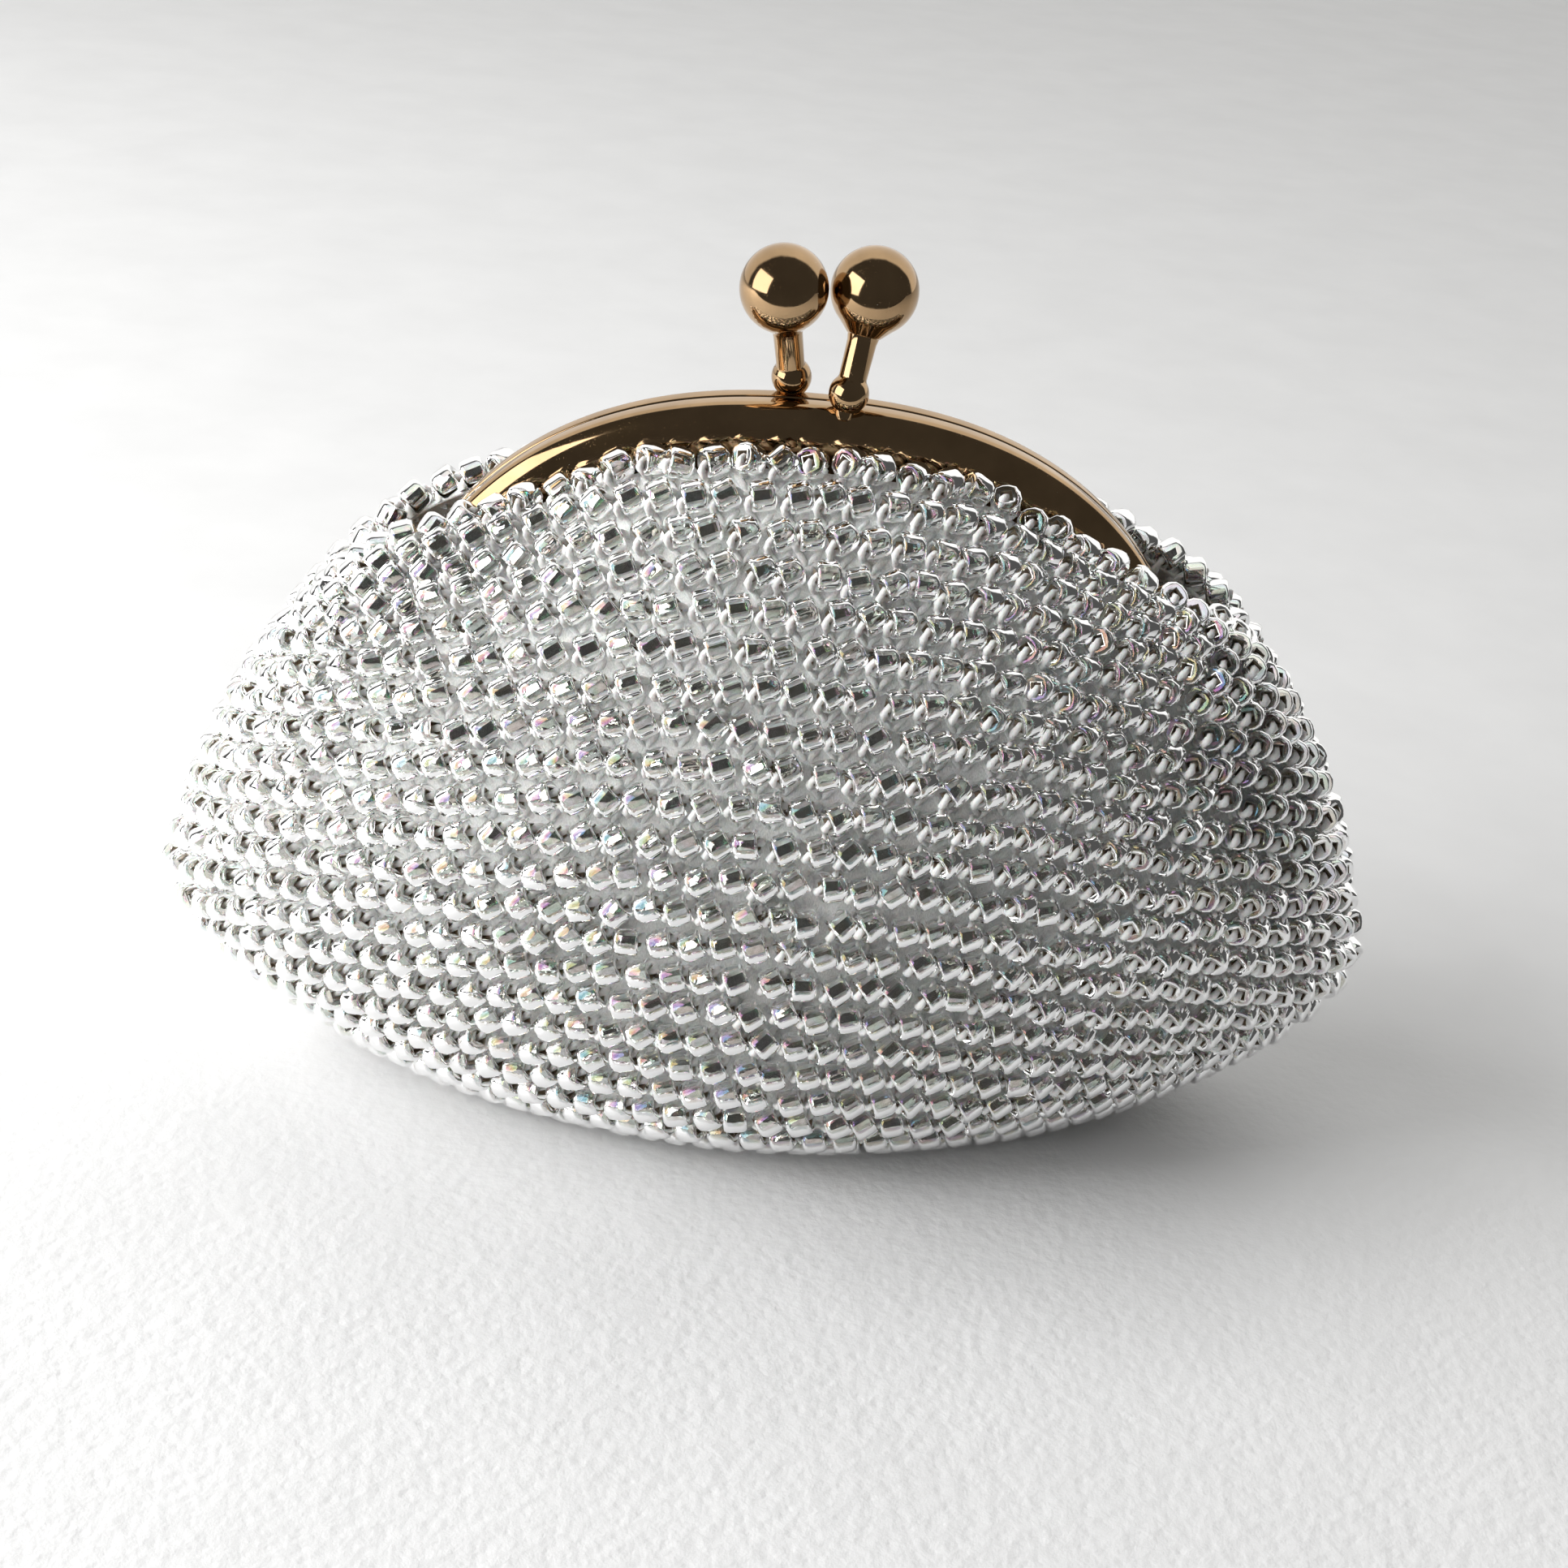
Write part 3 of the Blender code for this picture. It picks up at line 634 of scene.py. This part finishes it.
def lining_template():
    """Square silvered tube in the hole of a bead; the last quarter of its faces is the inner side."""
    end = BEAD_LENGTH / 2 - 0.00006
    outer, inner = 0.5 * BEAD_HOLE + 0.00002, 0.5 * BEAD_HOLE - 0.00006
    corners = np.array([(1, 1), (-1, 1), (-1, -1), (1, -1)])
    rings = []
    for half, height in ((outer, -end), (outer, end), (inner, end), (inner, -end)):
        rings.append(np.column_stack([corners * half, np.full(4, height)]))
    return np.concatenate(rings), ring_faces(4, 4, closed_stack=True)


def spline_paths(points, steps):
    """Smooth paths through rows of control points (paths, points, 3), as uniform B-splines."""
    ends = np.concatenate([points[:, :1], points[:, :1], points, points[:, -1:], points[:, -1:]], axis=1)
    spans = ends.shape[1] - 3
    out = []
    for step in range(steps):
        place = step / (steps - 1) * spans
        span = min(int(place), spans - 1)
        t = place - span
        weights = ((1 - t) ** 3, 3 * t**3 - 6 * t**2 + 4, -3 * t**3 + 3 * t**2 + 3 * t + 1, t**3)
        out.append(sum(w / 6.0 * ends[:, span + k] for k, w in enumerate(weights)))
    return np.stack(out, axis=1)


def thread_tubes(paths, radius, sides, upward, plies=0.0):
    """Tubes along paths (paths, steps, 3); with plies their outline is an oval that twists."""
    steps = paths.shape[1]
    along = unit(np.gradient(paths, axis=1))
    across = unit(np.cross(along, upward[:, None, :] + 1e-4))
    over = np.cross(across, along)
    turns = 2.0 * math.pi * np.arange(sides) / sides
    length = np.cumsum(np.linalg.norm(np.diff(paths, axis=1, prepend=paths[:, :1]), axis=-1), axis=1)
    twist = 2.0 * math.pi * length / THREAD_TWIST
    wave = np.cos(2.0 * turns[None, None, :] - twist[:, :, None])
    size = radius * (1.0 + plies * wave)
    points = (
        paths[:, :, None, :]
        + (size * np.cos(turns))[..., None] * across[:, :, None, :]
        + (size * np.sin(turns))[..., None] * over[:, :, None, :]
    )
    faces = ring_faces(steps, sides)
    shifted = faces[None] + (np.arange(len(paths)) * steps * sides)[:, None, None]
    return points.reshape(-1, 3), shifted.reshape(-1, 4)


# ---------------------------------------------------------------- the beaded crochet


def bead_sites():
    """Centre, axis and wall directions of every bead, row by row from the rim to the base."""
    found = []
    for row in range(int(ROWS)):
        share = row / ROWS
        places, along, rise, outward = spread_round(share, 0.5 * (row % 2))
        count = len(places)
        down = smooth_step(-outward[:, 2] / 0.8)
        slant = BEAD_SLANT + random.normal(0.0, SLANT_SPREAD, count)
        turn = BEAD_TURN * np.clip(places[:, 0] / BEAD_TURN_REACH, -0.3, 1.0)
        tilt = (BEAD_TILT + turn + random.normal(0.0, TILT_SPREAD, count)) * (1.0 - 0.9 * down)
        if row == 0:
            tilt += EDGE_BEAD_TILT + random.normal(0.0, EDGE_TILT_SPREAD, count)
            slant += random.normal(0.0, EDGE_SLANT_SPREAD, count)
        lift = BEAD_LIFT + random.normal(0.0, LIFT_SPREAD, count) * (1.0 - down)
        centres = places + outward * lift[:, None]
        centres += along * random.normal(0.0, SHIFT_SPREAD, count)[:, None]
        centres += rise * random.normal(0.0, SHIFT_SPREAD, count)[:, None]
        axis = (
            along * (np.cos(slant) * np.cos(tilt))[:, None]
            + rise * (np.sin(slant) * np.cos(tilt))[:, None]
            - outward * np.sin(tilt)[:, None]
        )
        lowest = CAD_BOX[0].z + BEAD_RADIUS + BEAD_FLOOR_GAP
        centres[:, 2] = np.maximum(centres[:, 2], lowest)
        found.append([centres, unit(axis), unit(along), unit(rise), unit(outward)])
    return [np.concatenate(field) for field in zip(*found)]


def bead_axes(axis):
    """Three axes for each bead: its own axis last, and the others at a random turn about it."""
    helper = unit(np.cross(axis, np.array([0.31, 0.22, 0.92])))
    other = np.cross(axis, helper)
    turn = random.uniform(0.0, 2.0 * math.pi, len(axis))[:, None]
    first = helper * np.cos(turn) + other * np.sin(turn)
    return np.stack([first, np.cross(axis, first), axis], axis=1)


def follow_half(piece):
    """Bake a soft piece's placement into its mesh."""
    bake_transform(piece)


def make_beads(sites):
    """Glass beads with their silvered holes, and the thread that comes out of each bead."""
    centres, axis, _, rise, outward = sites
    axes = bead_axes(axis)
    glass, glass_faces = bead_template()
    tube, tube_faces = lining_template()
    made = {"front": [], "back": []}
    for side in made:
        mine = np.flatnonzero((centres[:, 1] < 0.0) == (side == "front"))
        for part, start in enumerate(range(0, len(mine), BEADS_PER_PIECE)):
            chosen = mine[start : start + BEADS_PER_PIECE]
            points, faces = copies(glass, glass_faces, centres[chosen], axes[chosen])
            name = f"{side}_glass_beads_{part + 1}"
            beads = add_mesh(name, points, faces, [GLASS], sharp_angle=SHARP_ANGLE)
            points, faces = copies(tube, tube_faces, centres[chosen], axes[chosen])
            inner = np.tile(np.arange(len(tube_faces)) // 4 == 2, len(chosen)).astype(int)
            name = f"{side}_bead_silvering_{part + 1}"
            lining = add_mesh(name, points, faces, [SILVER, HOLE], inner, sharp_angle=math.radians(30))
            threaded = [field[chosen] for field in (centres, axis, rise, outward)]
            threads = make_bead_threads(f"{side}_bead_thread_{part + 1}", *threaded)
            for piece in (beads, lining, threads):
                follow_half(piece)
            made[side] += [beads, lining, threads]
    return made


def make_bead_threads(name, centres, axis, rise, outward):
    """Two-ply thread: up out of the crochet, through the bead and down again below its outer end."""
    half = BEAD_LENGTH / 2
    loose = random.normal(0.0, THREAD_SPREAD, (len(centres), 1))
    route = [
        centres + axis * (half + 0.0002) - outward * 0.0013 - rise * 0.0002,
        centres + axis * (half + 0.0003) - outward * 0.0004,
        centres + axis * 0.3 * half,
        centres - axis * 0.7 * half,
        centres - axis * (half + 0.00028) - rise * 0.00035,
        centres - axis * (half + 0.00020) - rise * (0.0008 + loose) - outward * 0.0005,
        centres - axis * (half - 0.0001) - rise * (0.0010 + loose) - outward * 0.0014,
        centres - axis * (half - 0.0004) - rise * 0.0009 - outward * 0.0022,
    ]
    paths = spline_paths(np.stack(route, axis=1), 14)
    points, faces = thread_tubes(paths, THREAD_RADIUS, 8, outward, plies=0.22)
    return add_mesh(name, points, faces, [THREAD])


def make_stitches(side, sites):
    """The V of each crochet stitch, lying on the ground between the rows of beads."""
    mine = np.flatnonzero((sites[0][:, 1] < 0.0) == (side == "front"))
    centres, _, along, rise, outward = (field[mine] for field in sites)
    below = ROW_PITCH * 0.5 + 0.0007
    paths = []
    for arm in (-1.0, 1.0):
        foot = centres - outward * (BEAD_LIFT + STITCH_DROP) - rise * below
        sway = along * arm
        route = [
            foot - outward * 0.0003 + sway * 0.00008,
            foot + outward * 0.00010 + sway * 0.00025 + rise * 0.0003,
            foot + outward * 0.00020 + sway * 0.00075 + rise * 0.0009,
            foot + outward * 0.00005 + sway * 0.00120 + rise * 0.0014,
            foot - outward * 0.0004 + sway * 0.00135 + rise * 0.0018,
        ]
        paths.append(np.stack(route, axis=1))
    paths = spline_paths(np.concatenate(paths), 7)
    upward = np.concatenate([outward, outward])
    points, faces = thread_tubes(paths, THREAD_RADIUS * 0.95, 7, upward, plies=0.16)
    # The stitches take the ground's cotton, with its painted shade.
    stitches = add_mesh(f"{side}_crochet_stitches", points, faces, [GROUND_PAINTED_SHADE])
    follow_half(stitches)
    return stitches


def make_sheet(name, side, first, count_across, count_up, outer, inner, relief, material):
    """A layer of the bag: a thin closed sheet between two offsets from the wall, its outside in low relief."""
    shares = np.linspace(first, 1.0, count_up)
    top = side_patch(side, shares, count_across, outer)
    bottom = side_patch(side, shares, count_across, inner)
    normal = unit(top - bottom)
    gone = np.linspace(0.0, 1.0, count_across) * travelled(top[count_up // 2])[-1]
    across, up = np.meshgrid(gone, shares * REACH[-1, CROWN_COLUMN])
    swell = np.sin(2.0 * math.pi * across / BEAD_PITCH * 2.0) * np.sin(2.0 * math.pi * up / ROW_PITCH)
    top = top + normal * (relief * swell)[..., None]
    faces = []
    for r in range(count_up - 1):
        for c in range(count_across - 1):
            a = r * count_across + c
            faces.append((a, a + count_across, a + count_across + 1, a + 1))
    size = count_up * count_across
    faces += [tuple(size + v for v in reversed(face)) for face in faces]
    rim = [(0, c) for c in range(count_across)]
    rim += [(r, count_across - 1) for r in range(1, count_up)]
    rim += [(count_up - 1, c) for c in range(count_across - 2, -1, -1)]
    rim += [(r, 0) for r in range(count_up - 2, 0, -1)]
    edge = [r * count_across + c for r, c in rim]
    faces += [(a, b, b + size, a + size) for a, b in zip(edge, edge[1:] + edge[:1])]
    points = np.concatenate([top.reshape(-1, 3), bottom.reshape(-1, 3)])
    piece = add_mesh(name, points, faces, [material])
    straighten(piece)
    follow_half(piece)
    return piece


def declare_sheet():
    """Lay a grid of points over the front half of the wall; nothing is done with it."""
    grid = side_patch("front", np.linspace(0.0, 1.0, 25), 80, 0.0)


def make_bag():
    """Beads, crochet and lining, and what they replace in the CAD model."""
    sites = bead_sites()
    beads = make_beads(sites)
    for side in ("front", "back"):
        name, first = f"{side}_crochet_ground_painted_shade", GROUND_FIRST_SHARE
        # The ground sheet takes the cotton that is painted darker as shade between the beads.
        ground = make_sheet(name, side, first, 180, 110, -GROUND_DROP, -CROCHET, GROUND_RELIEF, GROUND_PAINTED_SHADE)
        stitches = make_stitches(side, sites)
        inside = -CROCHET - LINING_GAP
        name, first = f"{side}_satin_lining", LINING_FIRST_SHARE
        lining = make_sheet(name, side, first, 90, 60, inside, inside - LINING, 0.0, SATIN)
        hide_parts(f"{side}_crochet_panel")
        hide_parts(f"{side}_lining_panel")
        declare_sheet()
        declare_sheet()
        for number in (1, 2, 3):
            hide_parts(f"{side}_beads_{number}")
        if side == "front":
            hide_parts("crochet_bowl")
            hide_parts("lining_bowl")
            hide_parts("base_beads", *(f"bowl_beads_{number}" for number in (1, 2, 3, 4)))


# ---------------------------------------------------------------- the metal frame


def arc(centre, radii, start, end, steps):
    """Points (inset, depth) on part of an ellipse: 0 degrees is towards more inset, 90 towards more depth."""
    turns = np.radians(np.linspace(start, end, steps))
    return np.stack([centre[0] + radii[0] * np.cos(turns), centre[1] + radii[1] * np.sin(turns)], axis=-1)


def channel_section():
    """Cross-section of one half of the frame: near wall, top, broad rounded edge, face and hem."""
    near, far = HALF_INNER_Y, HALF_INNER_Y + HALF_DEPTH
    lip, hem = BAND_HEIGHT - BACK_LIP_INSET, SHEET / 2
    corner, edge = CORNER_RADIUS, (EDGE_DROP, far - EDGE_DEPTH)
    down = np.linspace(0.1, 0.95, 12)
    fall = FACE_FALL * (0.8 * down + 0.2 * down**2)
    face = np.stack([EDGE_DROP + down * (BAND_HEIGHT - EDGE_DROP), far - fall], axis=-1)
    sections = [
        arc((lip, near + hem), (hem, hem), 90, -90, 7),
        arc((corner, near + corner), (corner, corner), -90, -180, 6),
        arc(edge, (EDGE_DROP, EDGE_DEPTH), 180, 90, 26),
        face,
        arc((BAND_HEIGHT - hem, far - FACE_FALL - hem), (hem, hem), 90, -90, 7),
        arc(edge, (EDGE_DROP - SHEET, EDGE_DEPTH - SHEET), 90, 180, 12),
    ]
    return np.concatenate(sections + [np.array([(SHEET, near + SHEET)])])


def turned_to(side, points):
    """Points of the front half as they are, or turned half round for the back half."""
    return points if side == "front" else points * np.array([-1.0, -1.0, 1.0])


def make_frame_half(side, steps=220):
    """One half of the frame: the channel's section along the arch, closed at both ends."""
    section = channel_section()
    rings = []
    for angle in np.linspace(-ARCH_END_ANGLE, ARCH_END_ANGLE, steps):
        x, z = arch_point(angle, section[:, 0])
        rings.append(np.stack([x, -section[:, 1], z], axis=-1))
    size = len(section)
    faces = ring_faces(steps, size).tolist()
    faces += [tuple(range(size)), tuple(range(size * steps - 1, size * (steps - 1) - 1, -1))]
    points = turned_to(side, np.concatenate(rings))
    piece = add_mesh(f"{side}_frame_half", points, faces, [METAL], sharp_angle=SHARP_ANGLE)
    straighten(piece)
    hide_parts(f"{side}_frame")
    return piece


def straighten(piece, bevel=0.0):
    """Turn all faces of a closed piece outward, and round off its sharp edges by bevel."""
    bm = bmesh.new()
    bm.from_mesh(piece.data)
    bmesh.ops.recalc_face_normals(bm, faces=bm.faces)
    if bevel > 0.0:
        edges = [edge for edge in bm.edges if edge.calc_face_angle(0.0) > SHARP_ANGLE]
        bmesh.ops.bevel(bm, geom=edges, offset=bevel, segments=2, affect="EDGES")
    bm.to_mesh(piece.data)
    bm.free()


def make_lug(side, hand):
    """Flat ear with rounded edges that holds the hinge rivet."""
    outer = LUG_OUTER_X[side]
    turns = np.radians(np.linspace(180.0, 360.0, 25))
    near, far = -HALF_INNER_Y - LUG_CLEARANCE, -HALF_INNER_Y - HALF_DEPTH + LUG_TOP_INSET
    outline = [(LUG_RADIUS * math.cos(t), HINGE_HEIGHT + LUG_RADIUS * math.sin(t)) for t in turns]
    neck, top = HINGE_HEIGHT + LUG_NECK_HEIGHT, HINGE_HEIGHT + LUG_TOP_HEIGHT
    outline += [(near, neck), (near, top), (far, top)]
    size = len(outline)
    points = [(hand * x, y, z) for x in (outer, outer - LUG_THICKNESS) for y, z in outline]
    faces = ring_faces(2, size).tolist() + [tuple(range(size)), tuple(range(2 * size - 1, size - 1, -1))]
    word = {-1: "left", 1: "right"}[hand]
    piece = add_mesh(f"{side}_{word}_hinge_lug", turned_to(side, np.array(points)), faces, [METAL])
    straighten(piece, LUG_BEVEL)
    piece.data.shade_smooth()
    piece.data.set_sharp_from_angle(angle=SHARP_ANGLE)
    return piece


def lathe(name, profile, start, toward, side="front", sides=64):
    """Turn a profile of (radius, distance) round the line from start in the direction of toward.

    Points on the axis keep a tiny radius, so that the ends are closed by real faces.
    """
    turns = 2.0 * math.pi * np.arange(sides) / sides
    axis = unit(np.array(toward, dtype=float))
    first = unit(np.cross(axis, np.array([0.13, 0.97, 0.2])))
    second = np.cross(axis, first)
    rings = []
    for radius, distance in profile:
        spokes = np.cos(turns)[:, None] * first + np.sin(turns)[:, None] * second
        rings.append(np.array(start) + axis * distance + spokes * max(radius, 0.00002))
    faces = ring_faces(len(rings), sides).tolist()
    faces += [tuple(range(sides)), tuple(range(sides * len(rings) - 1, sides * (len(rings) - 1) - 1, -1))]
    piece = add_mesh(name, turned_to(side, np.concatenate(rings)), faces, [METAL], sharp_angle=SHARP_ANGLE)
    straighten(piece)
    return piece


def sphere_profile(radius, height, low, high, steps):
    """Profile of a ball whose centre is at height, between two latitudes in degrees."""
    tilts = np.radians(np.linspace(low, high, steps))
    return [(radius * math.cos(t), height + radius * math.sin(t)) for t in tilts]


def make_knob(side):
    """Foot, collar ball, leaning stem and coned ball of one knob."""
    base = np.array([*KNOB_BASE, ARCH_CENTRE_HEIGHT + ARCH_RISE])
    centre = np.array(BALL_CENTRE)
    length = np.linalg.norm(centre - base)
    foot = [(0.0, -FOOT_SKIRT), (FOOT_RADIUS, -FOOT_SKIRT), (FOOT_RADIUS, FOOT_HEIGHT - 0.0003)]
    foot += [(FOOT_RADIUS - 0.0001, FOOT_HEIGHT - 0.0001), (FOOT_RADIUS - 0.0003, FOOT_HEIGHT)]
    foot += [(0.0, FOOT_HEIGHT)]
    foot_piece = lathe(f"{side}_knob_foot", foot, base, (0.0, 0.0, 1.0), side)
    shoulder = length - BALL_FLAT_DROP
    stem = sphere_profile(COLLAR_RADIUS, COLLAR_HEIGHT, -80, 42, 30)
    stem += [(STEM_RADIUS + 0.00006, stem[-1][1] + 0.00006), (STEM_RADIUS, stem[-1][1] + 0.0003)]
    stem += [(STEM_TOP_RADIUS, shoulder - 0.0006), (STEM_TOP_RADIUS + 0.00012, shoulder)]
    stem_piece = lathe(f"{side}_knob_post", stem, base, centre - base, side)
    ball = [(0.0, -BALL_FLAT_DROP), (BALL_FLAT_RADIUS - 0.0001, -BALL_FLAT_DROP)]
    ball += [(BALL_FLAT_RADIUS, -BALL_FLAT_DROP + 0.0001)]
    ball += sphere_profile(BALL_RADIUS, 0.0, -math.degrees(BALL_CONE_START), 89, 48)
    ball_piece = lathe(f"{side}_knob_ball_shell", ball, centre, centre - base, side, 96)
    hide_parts(f"{side}_knob_stem")
    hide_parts(f"{side}_knob_ball")
    return [foot_piece, stem_piece, ball_piece]


def make_rivet(hand):
    """Hinge rivet on one side: a domed head outside the lugs and a flatter one inside them."""
    word = {-1: "left", 1: "right"}[hand]
    outer, inner = LUG_OUTER_X["front"], LUG_OUTER_X["back"] - LUG_THICKNESS
    shank, head = RIVET_HEAD_RADIUS / 2, RIVET_HEAD_RADIUS
    profile = [(0.0, inner - 0.0010), (0.7 * head, inner - 0.0009), (0.9 * head, inner - 0.0005)]
    profile += [(0.9 * head, inner - 0.0003), (shank, inner - 0.0003), (shank, outer + 0.0003)]
    profile += [(head, outer + 0.0003), (head, outer + 0.0005), (0.85 * head, outer + 0.0008)]
    profile += [(0.5 * head, outer + 0.0010), (0.0, outer + 0.00108)]
    piece = lathe(f"{word}_rivet", profile, (0.0, 0.0, HINGE_HEIGHT), (hand, 0.0, 0.0), sides=32)
    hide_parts(f"{word}_hinge_rivet")
    return piece


def make_paper_cord(side):
    """The twisted cord that wedges the cloth in the channel."""
    angles = np.linspace(-PAPER_CORD_END_ANGLE, PAPER_CORD_END_ANGLE, 180)
    x, z = arch_point(angles, PAPER_CORD_INSET)
    path = turned_to(side, np.stack([x, np.full_like(x, -HALF_INNER_Y - HALF_DEPTH / 2), z], axis=-1))
    points, faces = thread_tubes(path[None], PAPER_CORD_RADIUS, 10, np.array([[0.0, 1.0, 0.0]]), plies=0.16)
    cord = add_mesh(f"{side}_twisted_paper_cord", points, faces, [PAPER])
    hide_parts(f"{side}_paper_cord")
    return cord


def make_metalwork():
    """Both halves of the frame with their lugs, knobs, rivets and paper cords."""
    for side in ("front", "back"):
        pieces = [make_frame_half(side), make_lug(side, -1), make_lug(side, 1), *make_knob(side)]
        if side == "front":
            pieces += [make_rivet(-1), make_rivet(1)]
        for piece in [*pieces, make_paper_cord(side)]:
            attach(piece, f"{side}_half")


# ---------------------------------------------------------------- camera, floor and light


def make_camera():
    """Close to the purse, in front of it and above, rolled a little as in the photo."""
    sine, cosine = math.sin(CAMERA_AZIMUTH), math.cos(CAMERA_AZIMUTH)
    level = math.cos(CAMERA_ELEVATION)
    forward = Vector((-sine * level, cosine * level, -math.sin(CAMERA_ELEVATION)))
    right = Vector((cosine, sine, 0.0))
    up = right.cross(forward)
    tilted_right = right * math.cos(CAMERA_ROLL) + up * math.sin(CAMERA_ROLL)
    tilted_up = up * math.cos(CAMERA_ROLL) - right * math.sin(CAMERA_ROLL)
    data = bpy.data.cameras.new("camera")
    data.sensor_width = 36.0
    data.lens = CAMERA_LENS
    data.clip_start, data.clip_end = 0.01, 20.0
    camera = bpy.data.objects.new("camera", data)
    bpy.context.scene.collection.objects.link(camera)
    turn = Matrix((tilted_right, tilted_up, -forward)).transposed().to_4x4()
    camera.matrix_world = Matrix.Translation(Vector(CAMERA_TARGET) - forward * CAMERA_DISTANCE) @ turn
    bpy.context.scene.camera = camera


def make_floor():
    """White tabletop; the part of it that lies far in front isn't mirrored in the purse."""
    material, half, rest = pale_floor(), TABLE_HALF_WIDTH, CAD_BOX[0].z
    for name, near, far in (("tabletop", TABLE_FRONT, half), ("tabletop_front", -half, TABLE_FRONT)):
        mesh = bpy.data.meshes.new(name)
        corners = [(-half, near, rest), (half, near, rest), (half, far, rest), (-half, far, rest)]
        mesh.from_pydata(corners, [], [(0, 1, 2, 3)])
        mesh.materials.append(material)
        floor = bpy.data.objects.new(name, mesh)
        floor.visible_glossy = far > TABLE_FRONT
        bpy.context.scene.collection.objects.link(floor)


def add_window(name, direction, distance, size, power, mirrored=True):
    """A soft rectangular light that faces the purse, mirrored in it or not."""
    data = bpy.data.lights.new(name, "AREA")
    data.shape = "RECTANGLE"
    (data.size, data.size_y), data.energy = size, power
    light = bpy.data.objects.new(name, data)
    light.visible_glossy = mirrored
    bpy.context.scene.collection.objects.link(light)
    away = Vector(direction).normalized()
    light.location = Vector((0.0, 0.0, 0.04)) + away * distance
    light.rotation_euler = away.to_track_quat("Z", "Y").to_euler()


def make_world():
    """White room behind and beside the purse, dark in front of it and overhead."""
    world = bpy.data.worlds.new("room")
    bpy.context.scene.world = world
    world.use_nodes = True
    tree = world.node_tree
    background = tree.nodes["Background"]
    place = tree.nodes.new("ShaderNodeTexCoord").outputs["Generated"]
    wobble = tree.nodes.new("ShaderNodeTexNoise")
    wobble.inputs["Scale"].default_value = 2.5
    tree.links.new(place, wobble.inputs["Vector"])
    smaller = tree.nodes.new("ShaderNodeMath")
    smaller.operation = "MINIMUM"
    above = (0.0, math.sin(DARK_LOW), math.cos(DARK_LOW))
    before = (0.0, -math.sin(DARK_HIGH), -math.cos(DARK_HIGH))
    for socket, aim in zip(smaller.inputs, (above, before)):
        dot = tree.nodes.new("ShaderNodeVectorMath")
        dot.operation = "DOT_PRODUCT"
        dot.inputs[1].default_value = aim
        tree.links.new(place, dot.inputs[0])
        tree.links.new(dot.outputs["Value"], socket)
    shift = tree.nodes.new("ShaderNodeMath")
    shift.operation = "MULTIPLY_ADD"
    shift.inputs[1].default_value = DARK_WOBBLE
    tree.links.new(wobble.outputs["Fac"], shift.inputs[0])
    tree.links.new(smaller.outputs["Value"], shift.inputs[2])
    ramp = tree.nodes.new("ShaderNodeMapRange")
    for name, value in zip(MAP_LIMITS, (*DARK_EDGE, BRIGHT_LEVEL, DARK_LEVEL)):
        ramp.inputs[name].default_value = value
    tree.links.new(shift.outputs["Value"], ramp.inputs["Value"])
    tree.links.new(ramp.outputs["Result"], background.inputs["Strength"])
    background.inputs["Color"].default_value = (1.0, 0.995, 0.975, 1.0)


make_camera()
make_floor()
make_world()
add_window("window", (-0.86, -0.37, 0.36), distance=0.75, size=(0.66, 0.56), power=4.0)
add_window("skylight", (-0.80, -0.05, 0.52), distance=0.70, size=(0.50, 0.50), power=5.0, mirrored=False)
make_metalwork()
make_bag()

bpy.context.scene.view_settings.view_transform = "Standard"
